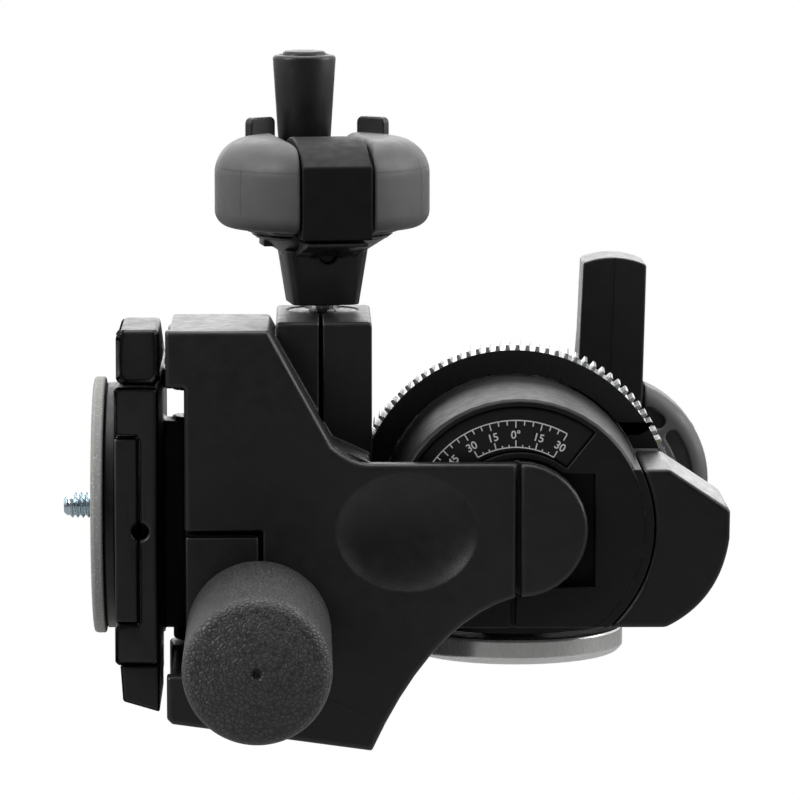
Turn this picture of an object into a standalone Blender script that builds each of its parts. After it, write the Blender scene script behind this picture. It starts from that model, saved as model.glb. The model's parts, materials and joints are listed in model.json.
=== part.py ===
"""Geared tripod head: three worm drives (pan, sideways tilt, forward tilt) under a quick-release plate.

Metres, +Z up. The origin is the centre of the base disc's underside, on the pan axis.
The sideways tilt axis runs along Y, and +Y is the side away from the arm's outer face.
The head is modelled tilted sideways by a quarter turn, so the camera plate faces -X.
"""

import math

import bmesh
import bpy
from mathutils import Matrix, Vector

# Clearances and shared values
FIT = 0.0003  # gap between pieces that touch
OVERRUN = 0.002  # how far a cutter runs past the face it cuts
SINK = 0.0008  # how deep joined shapes of one piece run into each other
WELD = 0.000002  # corners closer than this are one corner
ROUND_STEPS = 32
SMALL_STEPS = 16
SMOOTH_ANGLE = math.radians(32)

# Axes
TILT_Z = 0.0335

# Base disc and pan column
BASE_R = 0.0256
BASE_H = 0.0062
BASE_CHAMFER = 0.0013
SPIGOT_R = 0.0070
COLUMN_R = 0.0092
THREAD_R = 0.00476
THREAD_DEPTH = 0.0120
WHEEL_SEAT_R = 0.0077
NUT_R = 0.0118
NUT_H = 0.0030
COLUMN_TOP_OVER_WHEEL = 0.0036

# Worm gearing: module, tooth heights and tooth widths as shares of the pitch
MODULE = 0.00075
PITCH = math.pi * MODULE
ADDENDUM = 0.00045
ROOT_GAP = 0.00035
TOOTH_TIP_SHARE = 0.28
TOOTH_ROOT_SHARE = 0.50
THREAD_TIP_SHARE = 0.24
THREAD_ROOT_SHARE = 0.46
WORM_STEPS = 12
WORM_SHAFT_R = 0.0030
PAN_TEETH = 48
TILT_TEETH = 100
FRONT_TEETH = 28
PAN_WORM_R = 0.0067
TILT_WORM_R = 0.0073
FRONT_WORM_R = 0.0050
WORM_SLACK = 0.0006

# Pan worm wheel
PAN_WHEEL_Z = 0.0317
PAN_WHEEL_H = 0.0080
PAN_WORM_X = PAN_TEETH * MODULE / 2 + PAN_WORM_R
PAN_WORM_REACH = 0.0085

# Tilt worm wheel and tilt worm
GEAR_MID_Y = 0.0080
GEAR_WIDTH = 0.0124
GEAR_START = math.radians(26)
GEAR_SWEEP = math.radians(180)
GEAR_BORE_R = 0.0312
TILT_WORM_X = -(TILT_TEETH * MODULE / 2 + TILT_WORM_R)
TILT_WORM_REACH = 0.0090

# Pan housing
DRUM_FRONT_Y = -0.0346
DRUM_FRONT_R = 0.0289
DRUM_EDGE_R = 0.0296
DRUM_EDGE_DEPTH = 0.0008
DRUM_MID_Y = -0.0070
DRUM_MID_R = 0.0306
DRUM_REAR_Y = 0.0145
DRUM_REAR_R = 0.0308
HOUSING_LOW_Z = 0.0103
CAN_R = 0.0245
CAN_LOW_Z = 0.0072
CAN_TOP_Z = 0.0412
CAVITY_R = 0.0190
CAVITY_TOP_Z = 0.0396
BARREL_R = 0.0112
BARREL_FRONT_Y = -0.0190
BARREL_REAR_Y = 0.0360
RECESS_R = 0.0159
RECESS_RIGHT_X = 0.0173
RECESS_LOW = -0.0138
RECESS_HIGH = 0.0124
RECESS_DEPTH = 0.0042
SPLIT_X = -0.0014
SPLIT_WIDTH = 0.0013
SPLIT_DEPTH = 0.0014
APRON_R = 0.0309
APRON_TOP_Z = 0.0468
APRON_SET_BACK = 0.0001

# Scale
SCALE_OUT_R = 0.0276
SCALE_RIGHT_ANGLE = math.radians(38)
SCALE_LEFT_ANGLE = math.radians(98)
SCALE_PLATE_T = 0.0010
SCALE_POCKET_DEPTH = 0.0022

# Pan worm cover, the faceted piece at the right
COVER_FRONT_Y = -0.0346
COVER_REAR_Y = 0.0240
COVER_GAP_R = 0.0312
COVER_LOW_X = 0.0336
COVER_TIP_X = 0.0482
COVER_TIP_LOW_Z = 0.0327
COVER_TIP_HIGH_Z = 0.0386
COVER_TOP_X = 0.0329
COVER_TOP_Z = 0.0498
COVER_TOP_DROP = 0.0010
COVER_CHAMFER = 0.0014

# Arm and main casting
ARM_FRONT_Y = -0.0400
ARM_BACK_Y = -0.0350
ARM_HALF = 0.0154
SCALE_OVER_HUB = 0.0022
SCALE_IN_R = ARM_HALF + SCALE_OVER_HUB
ARM_END_X = -0.0009
CAP_START_X = 0.0001
ARM_CHAMFER = 0.0007
ARM_TOP_X = -0.0342
RIDGE_TOP_X = -0.0573
RIDGE_LOW_X = -0.0428
RIDGE_LOW_Z = 0.0528
BLOCK_LEFT_X = -0.0764
BLOCK_RIGHT_X = -0.0342
BLOCK_TOP_Z = 0.0793
BLOCK_REAR_Y = 0.0050
LUG_LEFT_X = -0.0806
LUG_HIGH_Z = 0.0662
LUG_LOW_Z = 0.0002
FOOT_LEFT_Z = -0.0110
FOOT_RIGHT_X = -0.0338
FOOT_RIGHT_Z = -0.0173
CURVE_X = -0.0200
CURVE_Z = 0.0130
CURVE_STEPS = 9
HUB_DEPTH = 0.0037
SPINDLE_R = 0.0078
SPINDLE_BACK_Y = -0.0205
DISH_X = -0.0258
DISH_Z = 0.0331
DISH_HALF_X = 0.0163
DISH_HALF_Z = 0.01375
DISH_DEPTH = 0.0036
DISH_CENTRE_OUT = 0.0024

# Worm block of the casting
WORM_BLOCK_LEFT_X = -0.0556
WORM_BLOCK_RIGHT_X = -0.0335
WORM_BLOCK_FRONT_Y = -0.0210
WORM_BLOCK_REAR_Y = 0.0180
WORM_BLOCK_LOW_Z = 0.0100
SLIT_WIDTH = 0.0009
SLIT_LOW_Z = 0.0500
BUSH_H = 0.0160
BUSH_BORE_SLACK = 0.0003

# Forward tilt: hinge, worm and cover plate
FRONT_X = -0.0750
FRONT_Y = 0.0120
FRONT_WORM_Z = 0.0106
FRONT_WORM_X = FRONT_X + FRONT_TEETH * MODULE / 2 + FRONT_WORM_R
FRONT_WHEEL_H = 0.0080
FRONT_WHEEL_FROM = math.radians(-18)
FRONT_WHEEL_SWEEP = math.radians(126)
KNUCKLE_R = 0.0052
LUG_END_R = 0.0061
LUG_REAR_TOP_Z = 0.0752
PIN_R = 0.0022
KNUCKLE_GAP_LOW_Z = 0.0538
KNUCKLE_GAP_HIGH_Z = 0.0600
FRONT_BOSS_R = 0.0072
FRONT_BOSS_REAR_Y = 0.0174
PLATE_POCKET_RIGHT_X = -0.0585
PLATE_POCKET_TOP_Z = 0.0336
PLATE_POCKET_LOW_Z = 0.0016
PLATE_POCKET_DEPTH = 0.0050
PLATE_SLOT = 0.0011
SHAFT_BOSS_R = 0.0089

# Winged knobs, in heights above the face that they stand on
NECK_LOW = 0.0016
NECK_TOP = 0.0138
NECK_LOW_X = 0.0079
NECK_LOW_Y = 0.0075
NECK_TOP_X = 0.0098
NECK_TOP_Y = 0.0090
NECK_ROUND = 0.0026
SHAFT_IN_KNOB = 0.0165
WASHER_OUT_R = 0.0042
WASHER_T = 0.0010
HUB_R = 0.0158
HUB_WAIST_R = 0.0115
HUB_WAIST = 0.0153
HUB_RIM = 0.0173
HUB_TOP = 0.0179
HUB_LUG_X = 0.0144
HUB_LUG_HALF = 0.0040
CHEEK_Y = 0.0238
CHEEK_LOW = 0.0168
LOBE_OVER_HUB = 0.0094
LOBE_R = HUB_R + LOBE_OVER_HUB
LOBE_H = 0.0215
LOBE_TOP_ROUND = 0.0080
LOBE_LOW_ROUND = 0.0050
LOBE_RISE = 0.0014
LOBE_INNER_X = 0.0088
LOBE_SLOT_OUT = 0.0042
LOBE_SLOT_HALF = 0.00175
LOBE_SLOT_DEPTH = 0.0045
LOBE_LONG_SLOT = math.radians(72)
LOBE_SHORT_SLOT = math.radians(10)
LOBE_SHORT_SLOT_AT = math.radians(56)
LOBE_END_ROUND = 0.0036
TAB_INSET = 0.0032
TAB_WIDTH = 0.0064
TAB_T = 0.0023
TAB_TOP = 0.0437
TAB_ROUND = 0.0015
TAB_RIGHT = math.radians(48)
TAB_LEFT = math.radians(126)
RAIL_HALF = 0.0030
RAIL_H = 0.0030
RAIL_FAR_Y = 0.0050
CRANK_FAR_HALF = 0.0077
CRANK_NEAR_HALF = 0.0072
CRANK_BACK = 0.0240
CRANK_FRONT = 0.0322
CRANK_TOP = 0.0359
HUMP_END_Y = 0.0130
HUMP_H = 0.0047
HUMP_STEPS = 10
CRANK_DOME = 0.0016
CRANK_TRAVEL = 0.0230
GRIP_AT = 0.0220
GRIP_ASIDE = -0.0009
GRIP_LOW_R = 0.0061
GRIP_TOP_R = 0.0075
GRIP_H = 0.0213
GRIP_DOME = 0.0019
GRIP_LIP = 0.0010
POST_R = 0.0030
POST_SHARE = 0.72
SET_SCREW_R = 0.0019
SET_SCREW_HOLE_R = 0.0022
SET_SCREW_AT = 0.0136
SET_SCREW_SUNK = 0.0014
TILT_KNOB_TURN = math.radians(8.5)
PAN_KNOB_LEAN = math.radians(-2)

# Front knob, a long rubber cylinder
ROLL_R = 0.0165
ROLL_LENGTH = 0.0560
ROLL_ROUND = 0.0030
ROLL_DOME = 0.0018
ROLL_WALL = 0.0030
ROLL_DIMPLE_R = 0.0009
ROLL_DIMPLE_RIM_R = 0.0014
ROLL_GAP = 0.0010
ROLL_SHAFT_R = 0.0060

# Quick-release adapter
ADAPTER_OUT_X = -0.0922
ADAPTER_BACK_X = -0.0823
ADAPTER_HALF_Y = -ARM_FRONT_Y
ADAPTER_LOW_Z = 0.0029
ADAPTER_HIGH_Z = 0.0665
PLATE_BACK_X = -0.0868
PLATE_LOW_Z = 0.0121
PLATE_HIGH_Z = 0.0553
EDGE_ROUND = 0.0012
PIN_HOLE_R = 0.0020
PIN_HOLE_DEPTH = 0.0080
PIN_HOLE_Z = 0.0335
JAW_OUT_X = -0.0915
JAW_LOW_Z = 0.0671
JAW_HIGH_Z = 0.0806
JAW_SHORT = 0.0030
JAW_HALF_Y = ADAPTER_HALF_Y - JAW_SHORT
LEVER_OUT_X = -0.0913
LEVER_HIGH_Z = 0.0022
LEVER_LOW_Z = -0.0088
LEVER_LOW_OUT_Z = -0.0063
LEVER_FRONT_Y = -0.0360
LEVER_REAR_Y = 0.0210
LEVER_PIVOT_Y = 0.0140
LEVER_PIVOT_Z = -0.0030
TONGUE_FRONT_X = -0.0846
TONGUE_HALF_Y = 0.0070
NOTCH_FRONT = 0.0140
WEB_HALF_Y = 0.0046

# Camera plate, disc and screw
DISC_R = 0.0300
DISC_OUT_X = -0.0982
DISC_T = 0.0028
DISC_Z = 0.0342
DISC_ROUND = 0.0005
BOSS_R = 0.0288
BOSS_NECK_R = 0.0200
SCREW_R = 0.00310
SCREW_TIP_X = -0.1054
SCREW_HEAD_R = 0.0080
SCREW_HEAD_T = 0.0030
SCREW_HOLE_R = 0.0034

# Heights that follow from the values above
BASE_TOP = BASE_H
WHEEL_LOW_Z = PAN_WHEEL_Z - PAN_WHEEL_H / 2
WHEEL_HIGH_Z = PAN_WHEEL_Z + PAN_WHEEL_H / 2
LEAD_SLOPE = PITCH / (2 * math.pi)

# Colours, roughness and metal share
BLACK_CAST = ((0.018, 0.018, 0.020), 0.55, 0.0)
BLACK_GLOSS = ((0.010, 0.010, 0.012), 0.30, 0.0)
RUBBER = ((0.060, 0.060, 0.063), 0.60, 0.0)
ALUMINIUM = ((0.78, 0.78, 0.76), 0.30, 1.0)
STEEL = ((0.55, 0.56, 0.58), 0.32, 1.0)
ZINC = ((0.62, 0.72, 0.76), 0.30, 1.0)
BRASS = ((0.72, 0.53, 0.22), 0.35, 1.0)
GREY_MATT = ((0.24, 0.24, 0.23), 0.80, 0.0)


def clear_scene():
    for obj in list(bpy.data.objects):
        bpy.data.objects.remove(obj, do_unlink=True)


def material(name, look):
    colour, roughness, metal = look
    made = bpy.data.materials.new(name)
    made.use_nodes = True
    shader = made.node_tree.nodes["Principled BSDF"]
    shader.inputs["Base Color"].default_value = (*colour, 1)
    shader.inputs["Roughness"].default_value = roughness
    shader.inputs["Metallic"].default_value = metal
    return made


def empty(name, place, parent=None):
    """A joint frame, unturned in the world, that its pieces hang from."""
    frame = bpy.data.objects.new(name, None)
    bpy.context.scene.collection.objects.link(frame)
    frame.parent = parent
    offset = Vector(place)
    if parent is not None:
        offset = offset - world_place(parent)
    frame.location = offset
    return frame


def world_place(obj):
    place = Vector(obj.location)
    while obj.parent is not None:
        obj = obj.parent
        place = place + Vector(obj.location)
    return place


def object_of(name, bm):
    bmesh.ops.recalc_face_normals(bm, faces=bm.faces)
    if bm.calc_volume(signed=True) < 0:
        bmesh.ops.reverse_faces(bm, faces=bm.faces)
    mesh = bpy.data.meshes.new(name)
    bm.to_mesh(mesh)
    bm.free()
    obj = bpy.data.objects.new(name, mesh)
    bpy.context.scene.collection.objects.link(obj)
    return obj


def arc(centre, radius, start, sweep, steps):
    """Points on an arc, ends included."""
    return [
        (centre[0] + radius * math.cos(start + sweep * i / steps),
         centre[1] + radius * math.sin(start + sweep * i / steps))
        for i in range(steps + 1)
    ]


def bezier(first, control, last, steps):
    """Points on a quadratic curve, ends included."""
    points = []
    for i in range(steps + 1):
        t = i / steps
        points.append(tuple((1 - t) ** 2 * a + 2 * t * (1 - t) * c + t * t * b
                            for a, c, b in zip(first, control, last)))
    return points


def inset(points, distance):
    """The outline moved inward by a distance, corner by corner."""
    area = sum(a[0] * b[1] - b[0] * a[1] for a, b in zip(points, points[1:] + points[:1]))
    side = 1 if area > 0 else -1
    moved = []
    for before, here, after in zip(points[-1:] + points[:-1], points, points[1:] + points[:1]):
        come = (Vector(here) - Vector(before)).normalized()
        go = (Vector(after) - Vector(here)).normalized()
        normal = Vector((-come.y - go.y, come.x + go.x)) * side
        normal.normalize()
        lean = max(normal.dot(Vector((-come.y, come.x)) * side), 0.5)
        moved.append(tuple(Vector(here) + normal * (distance / lean)))
    return moved


def layers(rings, place):
    """A closed solid through outlines of equal point count, each at its own height."""
    bm = bmesh.new()
    rows = [[bm.verts.new(place(x, y, h)) for x, y in ring] for ring, h in rings]
    for low, high in zip(rows, rows[1:]):
        for i in range(len(low)):
            j = (i + 1) % len(low)
            bm.faces.new((low[i], low[j], high[j], high[i]))
    bm.faces.new(rows[0][::-1])
    bm.faces.new(rows[-1])
    return bm


def along_y(x, z, y):
    return (x, y, z)


def along_z(x, y, z):
    return (x, y, z)


def along_x(y, z, x):
    return (x, y, z)


def prism(name, outline, low, high, place, chamfer=0.0):
    """An outline pulled along one axis, with both rims chamfered if asked."""
    rings = [(outline, low), (outline, high)]
    if chamfer:
        drawn = inset(outline, chamfer)
        rings = [(drawn, low), (outline, low + chamfer), (outline, high - chamfer), (drawn, high)]
    return object_of(name, layers(rings, place))


def box(name, low, high, chamfer=0.0):
    outline = [(low[0], low[1]), (high[0], low[1]), (high[0], high[1]), (low[0], high[1])]
    return prism(name, outline, low[2], high[2], along_z, chamfer)


def circle(radius, steps):
    return arc((0, 0), radius, 0, 2 * math.pi, steps)[:-1]


def turned(name, profile, steps=ROUND_STEPS):
    """A solid of revolution about +Z; a radius of zero closes it, flat where two heights are equal."""
    bm = bmesh.new()
    closed = profile[0][0] > 0 and profile[-1][0] > 0
    flat_start = profile[0][0] == 0 and profile[0][1] == profile[1][1]
    flat_end = profile[-1][0] == 0 and profile[-1][1] == profile[-2][1]
    profile = profile[1 if flat_start else 0:len(profile) - (1 if flat_end else 0)]
    rows = []
    for radius, height in profile:
        points = circle(radius, steps) if radius else [(0, 0)]
        rows.append([bm.verts.new((x, y, height)) for x, y in points])
    if flat_start:
        bm.faces.new(rows[0])
    if flat_end:
        bm.faces.new(rows[-1])
    pairs = list(zip(rows, rows[1:]))
    if closed:
        pairs.append((rows[-1], rows[0]))
    for low, high in pairs:
        for i in range(steps):
            j = (i + 1) % steps
            if len(low) == 1:
                bm.faces.new((low[0], high[j], high[i]))
            elif len(high) == 1:
                bm.faces.new((low[i], low[j], high[0]))
            else:
                bm.faces.new((low[i], low[j], high[j], high[i]))
    return object_of(name, bm)


def swept(name, profile, start, sweep, steps):
    """A closed profile of (radius, height) points swept part of the way about +Z."""
    bm = bmesh.new()
    rows = []
    for i in range(steps + 1):
        angle = start + sweep * i / steps
        rows.append([bm.verts.new((r * math.cos(angle), r * math.sin(angle), h)) for r, h in profile])
    for here, there in zip(rows, rows[1:]):
        for i in range(len(profile)):
            j = (i + 1) % len(profile)
            bm.faces.new((here[i], here[j], there[j], there[i]))
    bm.faces.new(rows[0][::-1])
    bm.faces.new(rows[-1])
    return object_of(name, bm)


def rod(name, radius, low, high, steps=SMALL_STEPS):
    return turned(name, [(0, low), (radius, low), (radius, high), (0, high)], steps)


def ring(name, inner, outer, low, high, steps=ROUND_STEPS):
    return turned(name, [(inner, low), (outer, low), (outer, high), (inner, high)], steps)


def moved(obj, matrix):
    obj.data.transform(matrix)
    return obj


def shifted(obj, x=0.0, y=0.0, z=0.0):
    return moved(obj, Matrix.Translation((x, y, z)))


def lay_along_y(obj):
    """Turns a solid built about +Z so that its axis runs along +Y."""
    return moved(obj, Matrix.Rotation(-math.pi / 2, 4, "X"))


def lay_along_minus_y(obj):
    return moved(obj, Matrix.Rotation(math.pi / 2, 4, "X"))


def lay_along_minus_x(obj):
    return moved(obj, Matrix.Rotation(-math.pi / 2, 4, "Y"))


def tidied(mesh):
    """Merges corners that fell on each other and drops edges between faces of one plane."""
    bm = bmesh.new()
    bm.from_mesh(mesh)
    bmesh.ops.remove_doubles(bm, verts=bm.verts, dist=WELD)
    bmesh.ops.dissolve_degenerate(bm, edges=bm.edges, dist=WELD)
    bm.to_mesh(mesh)
    bm.free()
    return mesh


def combine(target, others, operation):
    """Applies a Boolean with each other solid in turn and removes it."""
    for other in others:
        modifier = target.modifiers.new(operation.title(), "BOOLEAN")
        modifier.operation = operation
        modifier.solver = "EXACT"
        modifier.object = other
        bpy.context.view_layer.update()
        graph = bpy.context.evaluated_depsgraph_get()
        mesh = bpy.data.meshes.new_from_object(target.evaluated_get(graph))
        target.modifiers.clear()
        target.data = tidied(mesh)
        bpy.data.objects.remove(other, do_unlink=True)
    return target


def cut(target, *others):
    return combine(target, others, "DIFFERENCE")


def join(target, *others):
    return combine(target, others, "UNION")


def keep(target, *others):
    return combine(target, others, "INTERSECT")


def finish(obj, name, look, parent, smooth=True):
    """Names a piece, gives it its material and hangs it on its joint frame."""
    obj.name = name
    obj.data.name = name
    obj.data.materials.clear()
    obj.data.materials.append(material(name + "_finish", look))
    place = world_place(parent)
    obj.data.transform(Matrix.Translation(-place))
    obj.parent = parent
    if smooth:
        obj.data.shade_smooth()
        obj.data.set_sharp_from_angle(angle=SMOOTH_ANGLE)
    return obj


def tooth_outline(teeth, start, sweep, bore, space_at):
    """A wheel or a sector of one, with a tooth space centred on the angle space_at."""
    tip = teeth * MODULE / 2 + ADDENDUM
    root = teeth * MODULE / 2 - ADDENDUM - ROOT_GAP
    step = 2 * math.pi / teeth
    first = math.ceil((start - space_at) / step - 0.5) + 1
    count = teeth if sweep >= 2 * math.pi else math.floor(sweep / step) - 1
    outline = []
    for k in range(first, first + count):
        centre = space_at + (k + 0.5) * step
        for radius, share in ((root, -TOOTH_ROOT_SHARE), (tip, -TOOTH_TIP_SHARE),
                              (tip, TOOTH_TIP_SHARE), (root, TOOTH_ROOT_SHARE)):
            angle = centre + share * step / 2
            outline.append((radius * math.cos(angle), radius * math.sin(angle)))
    if sweep >= 2 * math.pi:
        return outline
    last = space_at + (first + count) * step
    begin = space_at + first * step
    back_steps = max(8, count // 2)
    return ([(root * math.cos(begin), root * math.sin(begin))] + outline
            + [(root * math.cos(last), root * math.sin(last))]
            + arc((0, 0), bore, last, begin - last, back_steps))


def worm_wheel(name, outline, width, worm_radius, teeth):
    """An outline of teeth pulled along +Z, slanted at the worm's lead angle."""
    slope = LEAD_SLOPE / worm_radius / (teeth * MODULE / 2)
    rings = []
    for height in (-width / 2, width / 2):
        turn = height * slope
        rings.append(([(x * math.cos(turn) - y * math.sin(turn),
                        x * math.sin(turn) + y * math.cos(turn)) for x, y in outline], height))
    return object_of(name, layers(rings, along_z))


def worm(name, radius, low, high, crest_at, crest_angle):
    """A right-handed worm about +Z: a crest passes through height crest_at at crest_angle."""
    tip = radius + ADDENDUM
    root = radius - ADDENDUM - ROOT_GAP
    share = ((root, -THREAD_ROOT_SHARE / 2), (tip, -THREAD_TIP_SHARE / 2),
             (tip, THREAD_TIP_SHARE / 2), (root, THREAD_ROOT_SHARE / 2))
    base = crest_at - PITCH * crest_angle / (2 * math.pi)
    first = math.ceil((low - base) / PITCH)
    turns = math.floor((high - base) / PITCH) - first - 1
    bm = bmesh.new()
    rows = []
    for turn in range(turns + 1):
        for row_radius, offset in share:
            row = []
            for i in range(WORM_STEPS):
                angle = 2 * math.pi * i / WORM_STEPS
                height = base + PITCH * (first + turn + offset + i / WORM_STEPS)
                row.append(bm.verts.new((row_radius * math.cos(angle),
                                         row_radius * math.sin(angle), height)))
            rows.append(row)
    turn_rows = len(share)
    for k in range(len(rows) - 1):
        for i in range(WORM_STEPS - 1):
            bm.faces.new((rows[k][i], rows[k][i + 1], rows[k + 1][i + 1], rows[k + 1][i]))
        if k + turn_rows + 1 < len(rows):
            bm.faces.new((rows[k][-1], rows[k + turn_rows][0],
                          rows[k + turn_rows + 1][0], rows[k + 1][-1]))
    low_loop = rows[0] + [rows[k][0] for k in range(turn_rows, 0, -1)]
    top = len(rows) - 1
    high_loop = rows[top][::-1] + [rows[k][-1] for k in range(top - turn_rows, top)]
    for loop in (low_loop, high_loop):
        heights = [v.co.z for v in loop]
        hub = bm.verts.new((0, 0, (min(heights) + max(heights)) / 2))
        for a, b in zip(loop, loop[1:] + loop[:1]):
            bm.faces.new((hub, b, a))
    return object_of(name, bm)


def worm_shaft(name, radius, low, high, crest_at, crest_angle, shaft_low, shaft_high):
    """A worm on a shaft that runs past both of its ends."""
    body = worm(name, radius, low, high, crest_at, crest_angle)
    return join(body, rod(name + "_shaft", WORM_SHAFT_R, shaft_low, shaft_high))


def rounded_rectangle(half_x, half_y, radius, steps=3):
    points = []
    for sx, sy, start in ((1, 1, 0), (-1, 1, 1), (-1, -1, 2), (1, -1, 3)):
        centre = (sx * (half_x - radius), sy * (half_y - radius))
        points += arc(centre, radius, start * math.pi / 2, math.pi / 2, steps)
    return points


def sector(inner, outer, start, sweep, steps):
    """An outline between two radii."""
    return (arc((0, 0), outer, start, sweep, steps)
            + arc((0, 0), inner, start + sweep, -sweep, steps))


# Base


def base_disc():
    bore = SPIGOT_R + FIT
    return turned("base_disc", [
        (bore, 0), (BASE_R - BASE_CHAMFER, 0), (BASE_R, BASE_CHAMFER),
        (BASE_R, BASE_TOP - BASE_CHAMFER / 3), (BASE_R - BASE_CHAMFER / 3, BASE_TOP),
        (bore, BASE_TOP),
    ], steps=ROUND_STEPS + SMALL_STEPS)


def pan_column():
    """From the bottom of the blind tripod thread, round the outside, to the top."""
    shoulder = BASE_TOP + FIT
    top = WHEEL_HIGH_Z + COLUMN_TOP_OVER_WHEEL
    return turned("pan_column", [
        (0, THREAD_DEPTH), (THREAD_R, THREAD_DEPTH), (THREAD_R, 0), (SPIGOT_R, 0),
        (SPIGOT_R, shoulder), (COLUMN_R, shoulder), (COLUMN_R, WHEEL_LOW_Z - FIT),
        (WHEEL_SEAT_R, WHEEL_LOW_Z - FIT), (WHEEL_SEAT_R, top), (0, top),
    ])


def pan_worm_wheel():
    outline = tooth_outline(PAN_TEETH, 0, 2 * math.pi, 0, 0)
    wheel = worm_wheel("pan_worm_wheel", outline, PAN_WHEEL_H, PAN_WORM_R, PAN_TEETH)
    reach = PAN_WHEEL_H / 2 + OVERRUN
    cut(wheel, rod("bore", WHEEL_SEAT_R + FIT, -reach, reach, ROUND_STEPS))
    return shifted(wheel, z=PAN_WHEEL_Z)


def column_nut():
    low = WHEEL_HIGH_Z + FIT
    nut = ring("column_nut", WHEEL_SEAT_R + FIT, NUT_R, low, low + NUT_H, SMALL_STEPS)
    return nut


# Pan housing


def pan_housing():
    drum = turned("pan_housing", [
        (0, DRUM_FRONT_Y), (DRUM_FRONT_R, DRUM_FRONT_Y),
        (DRUM_EDGE_R, DRUM_FRONT_Y + DRUM_EDGE_DEPTH), (DRUM_MID_R, DRUM_MID_Y),
        (DRUM_REAR_R, DRUM_MID_Y + OVERRUN), (DRUM_REAR_R, DRUM_REAR_Y), (0, DRUM_REAR_Y),
    ], ROUND_STEPS + SMALL_STEPS)
    shifted(lay_along_y(drum), z=TILT_Z)
    can = turned("can", [
        (0, CAN_LOW_Z), (CAN_R, CAN_LOW_Z), (CAN_R, CAN_TOP_Z - BASE_CHAMFER),
        (CAN_R - BASE_CHAMFER, CAN_TOP_Z), (0, CAN_TOP_Z),
    ], ROUND_STEPS)
    barrel = turned("barrel", [
        (0, BARREL_FRONT_Y), (BARREL_R, BARREL_FRONT_Y), (BARREL_R, BARREL_REAR_Y - BASE_CHAMFER),
        (BARREL_R - BASE_CHAMFER, BARREL_REAR_Y), (0, BARREL_REAR_Y),
    ], ROUND_STEPS)
    shifted(lay_along_y(barrel), x=PAN_WORM_X, z=PAN_WHEEL_Z)
    low = box("low", (-BASE_R - OVERRUN, DRUM_FRONT_Y - OVERRUN, -OVERRUN),
              (BASE_R * 2, CAN_R + OVERRUN, HOUSING_LOW_Z))
    cut(join(drum, housing_apron()), low)
    join(drum, can, barrel)
    cavity = rod("cavity", CAVITY_R, CAN_LOW_Z - OVERRUN, CAVITY_TOP_Z, ROUND_STEPS)
    worm_bore = rod("worm_bore", PAN_WORM_R + ADDENDUM + WORM_SLACK,
                    -PAN_WORM_REACH - OVERRUN, BARREL_REAR_Y + OVERRUN, ROUND_STEPS)
    shifted(lay_along_y(worm_bore), x=PAN_WORM_X, z=PAN_WHEEL_Z)
    spindle_bore = rod("spindle_bore", SPINDLE_R + FIT, DRUM_FRONT_Y - OVERRUN,
                       SPINDLE_BACK_Y + OVERRUN, ROUND_STEPS)
    shifted(lay_along_y(spindle_bore), z=TILT_Z)
    high = math.asin(RECESS_HIGH / RECESS_R)
    low_end = 2 * math.pi + math.asin(RECESS_LOW / RECESS_R)
    outline = arc((0, 0), RECESS_R, high, low_end - high, ROUND_STEPS) + [
        (RECESS_RIGHT_X, RECESS_LOW), (RECESS_RIGHT_X, RECESS_HIGH)]
    recess = prism("recess", outline, DRUM_FRONT_Y - OVERRUN, DRUM_FRONT_Y + RECESS_DEPTH, along_y)
    shifted(recess, z=TILT_Z)
    pocket = scale_solid("pocket", FIT, DRUM_FRONT_Y - OVERRUN, DRUM_FRONT_Y + SCALE_POCKET_DEPTH)
    split = box("split", (SPLIT_X - SPLIT_WIDTH / 2, DRUM_FRONT_Y - OVERRUN, HOUSING_LOW_Z - OVERRUN),
                (SPLIT_X + SPLIT_WIDTH / 2, DRUM_FRONT_Y + SPLIT_DEPTH, TILT_Z - RECESS_R + OVERRUN))
    return cut(drum, cavity, worm_bore, spindle_bore, recess, pocket, split)


def housing_apron():
    """The right half's wall, drawn out flush with the drum's front up to the cover's edge."""
    apron = rod("apron", APRON_R, DRUM_FRONT_Y + APRON_SET_BACK, DRUM_MID_Y + SINK,
                ROUND_STEPS + SMALL_STEPS)
    shifted(lay_along_y(apron), z=TILT_Z)
    return keep(apron, box("zone", (0, DRUM_FRONT_Y - OVERRUN, 0),
                           (APRON_R + OVERRUN, DRUM_MID_Y + OVERRUN, APRON_TOP_Z)))


def scale_solid(name, grow, front, back):
    """The dial's band: it runs on under the arm at the left."""
    turn = grow / SCALE_OUT_R
    start = math.pi / 2 - SCALE_RIGHT_ANGLE - turn
    sweep = SCALE_RIGHT_ANGLE + SCALE_LEFT_ANGLE + 2 * turn
    outline = sector(SCALE_IN_R - grow, SCALE_OUT_R + grow, start, sweep, ROUND_STEPS)
    return shifted(prism(name, outline, front, back, along_y), z=TILT_Z)


def scale_plate():
    back = DRUM_FRONT_Y + SCALE_POCKET_DEPTH - FIT
    return scale_solid("scale_plate", 0, back - SCALE_PLATE_T, back)


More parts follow.
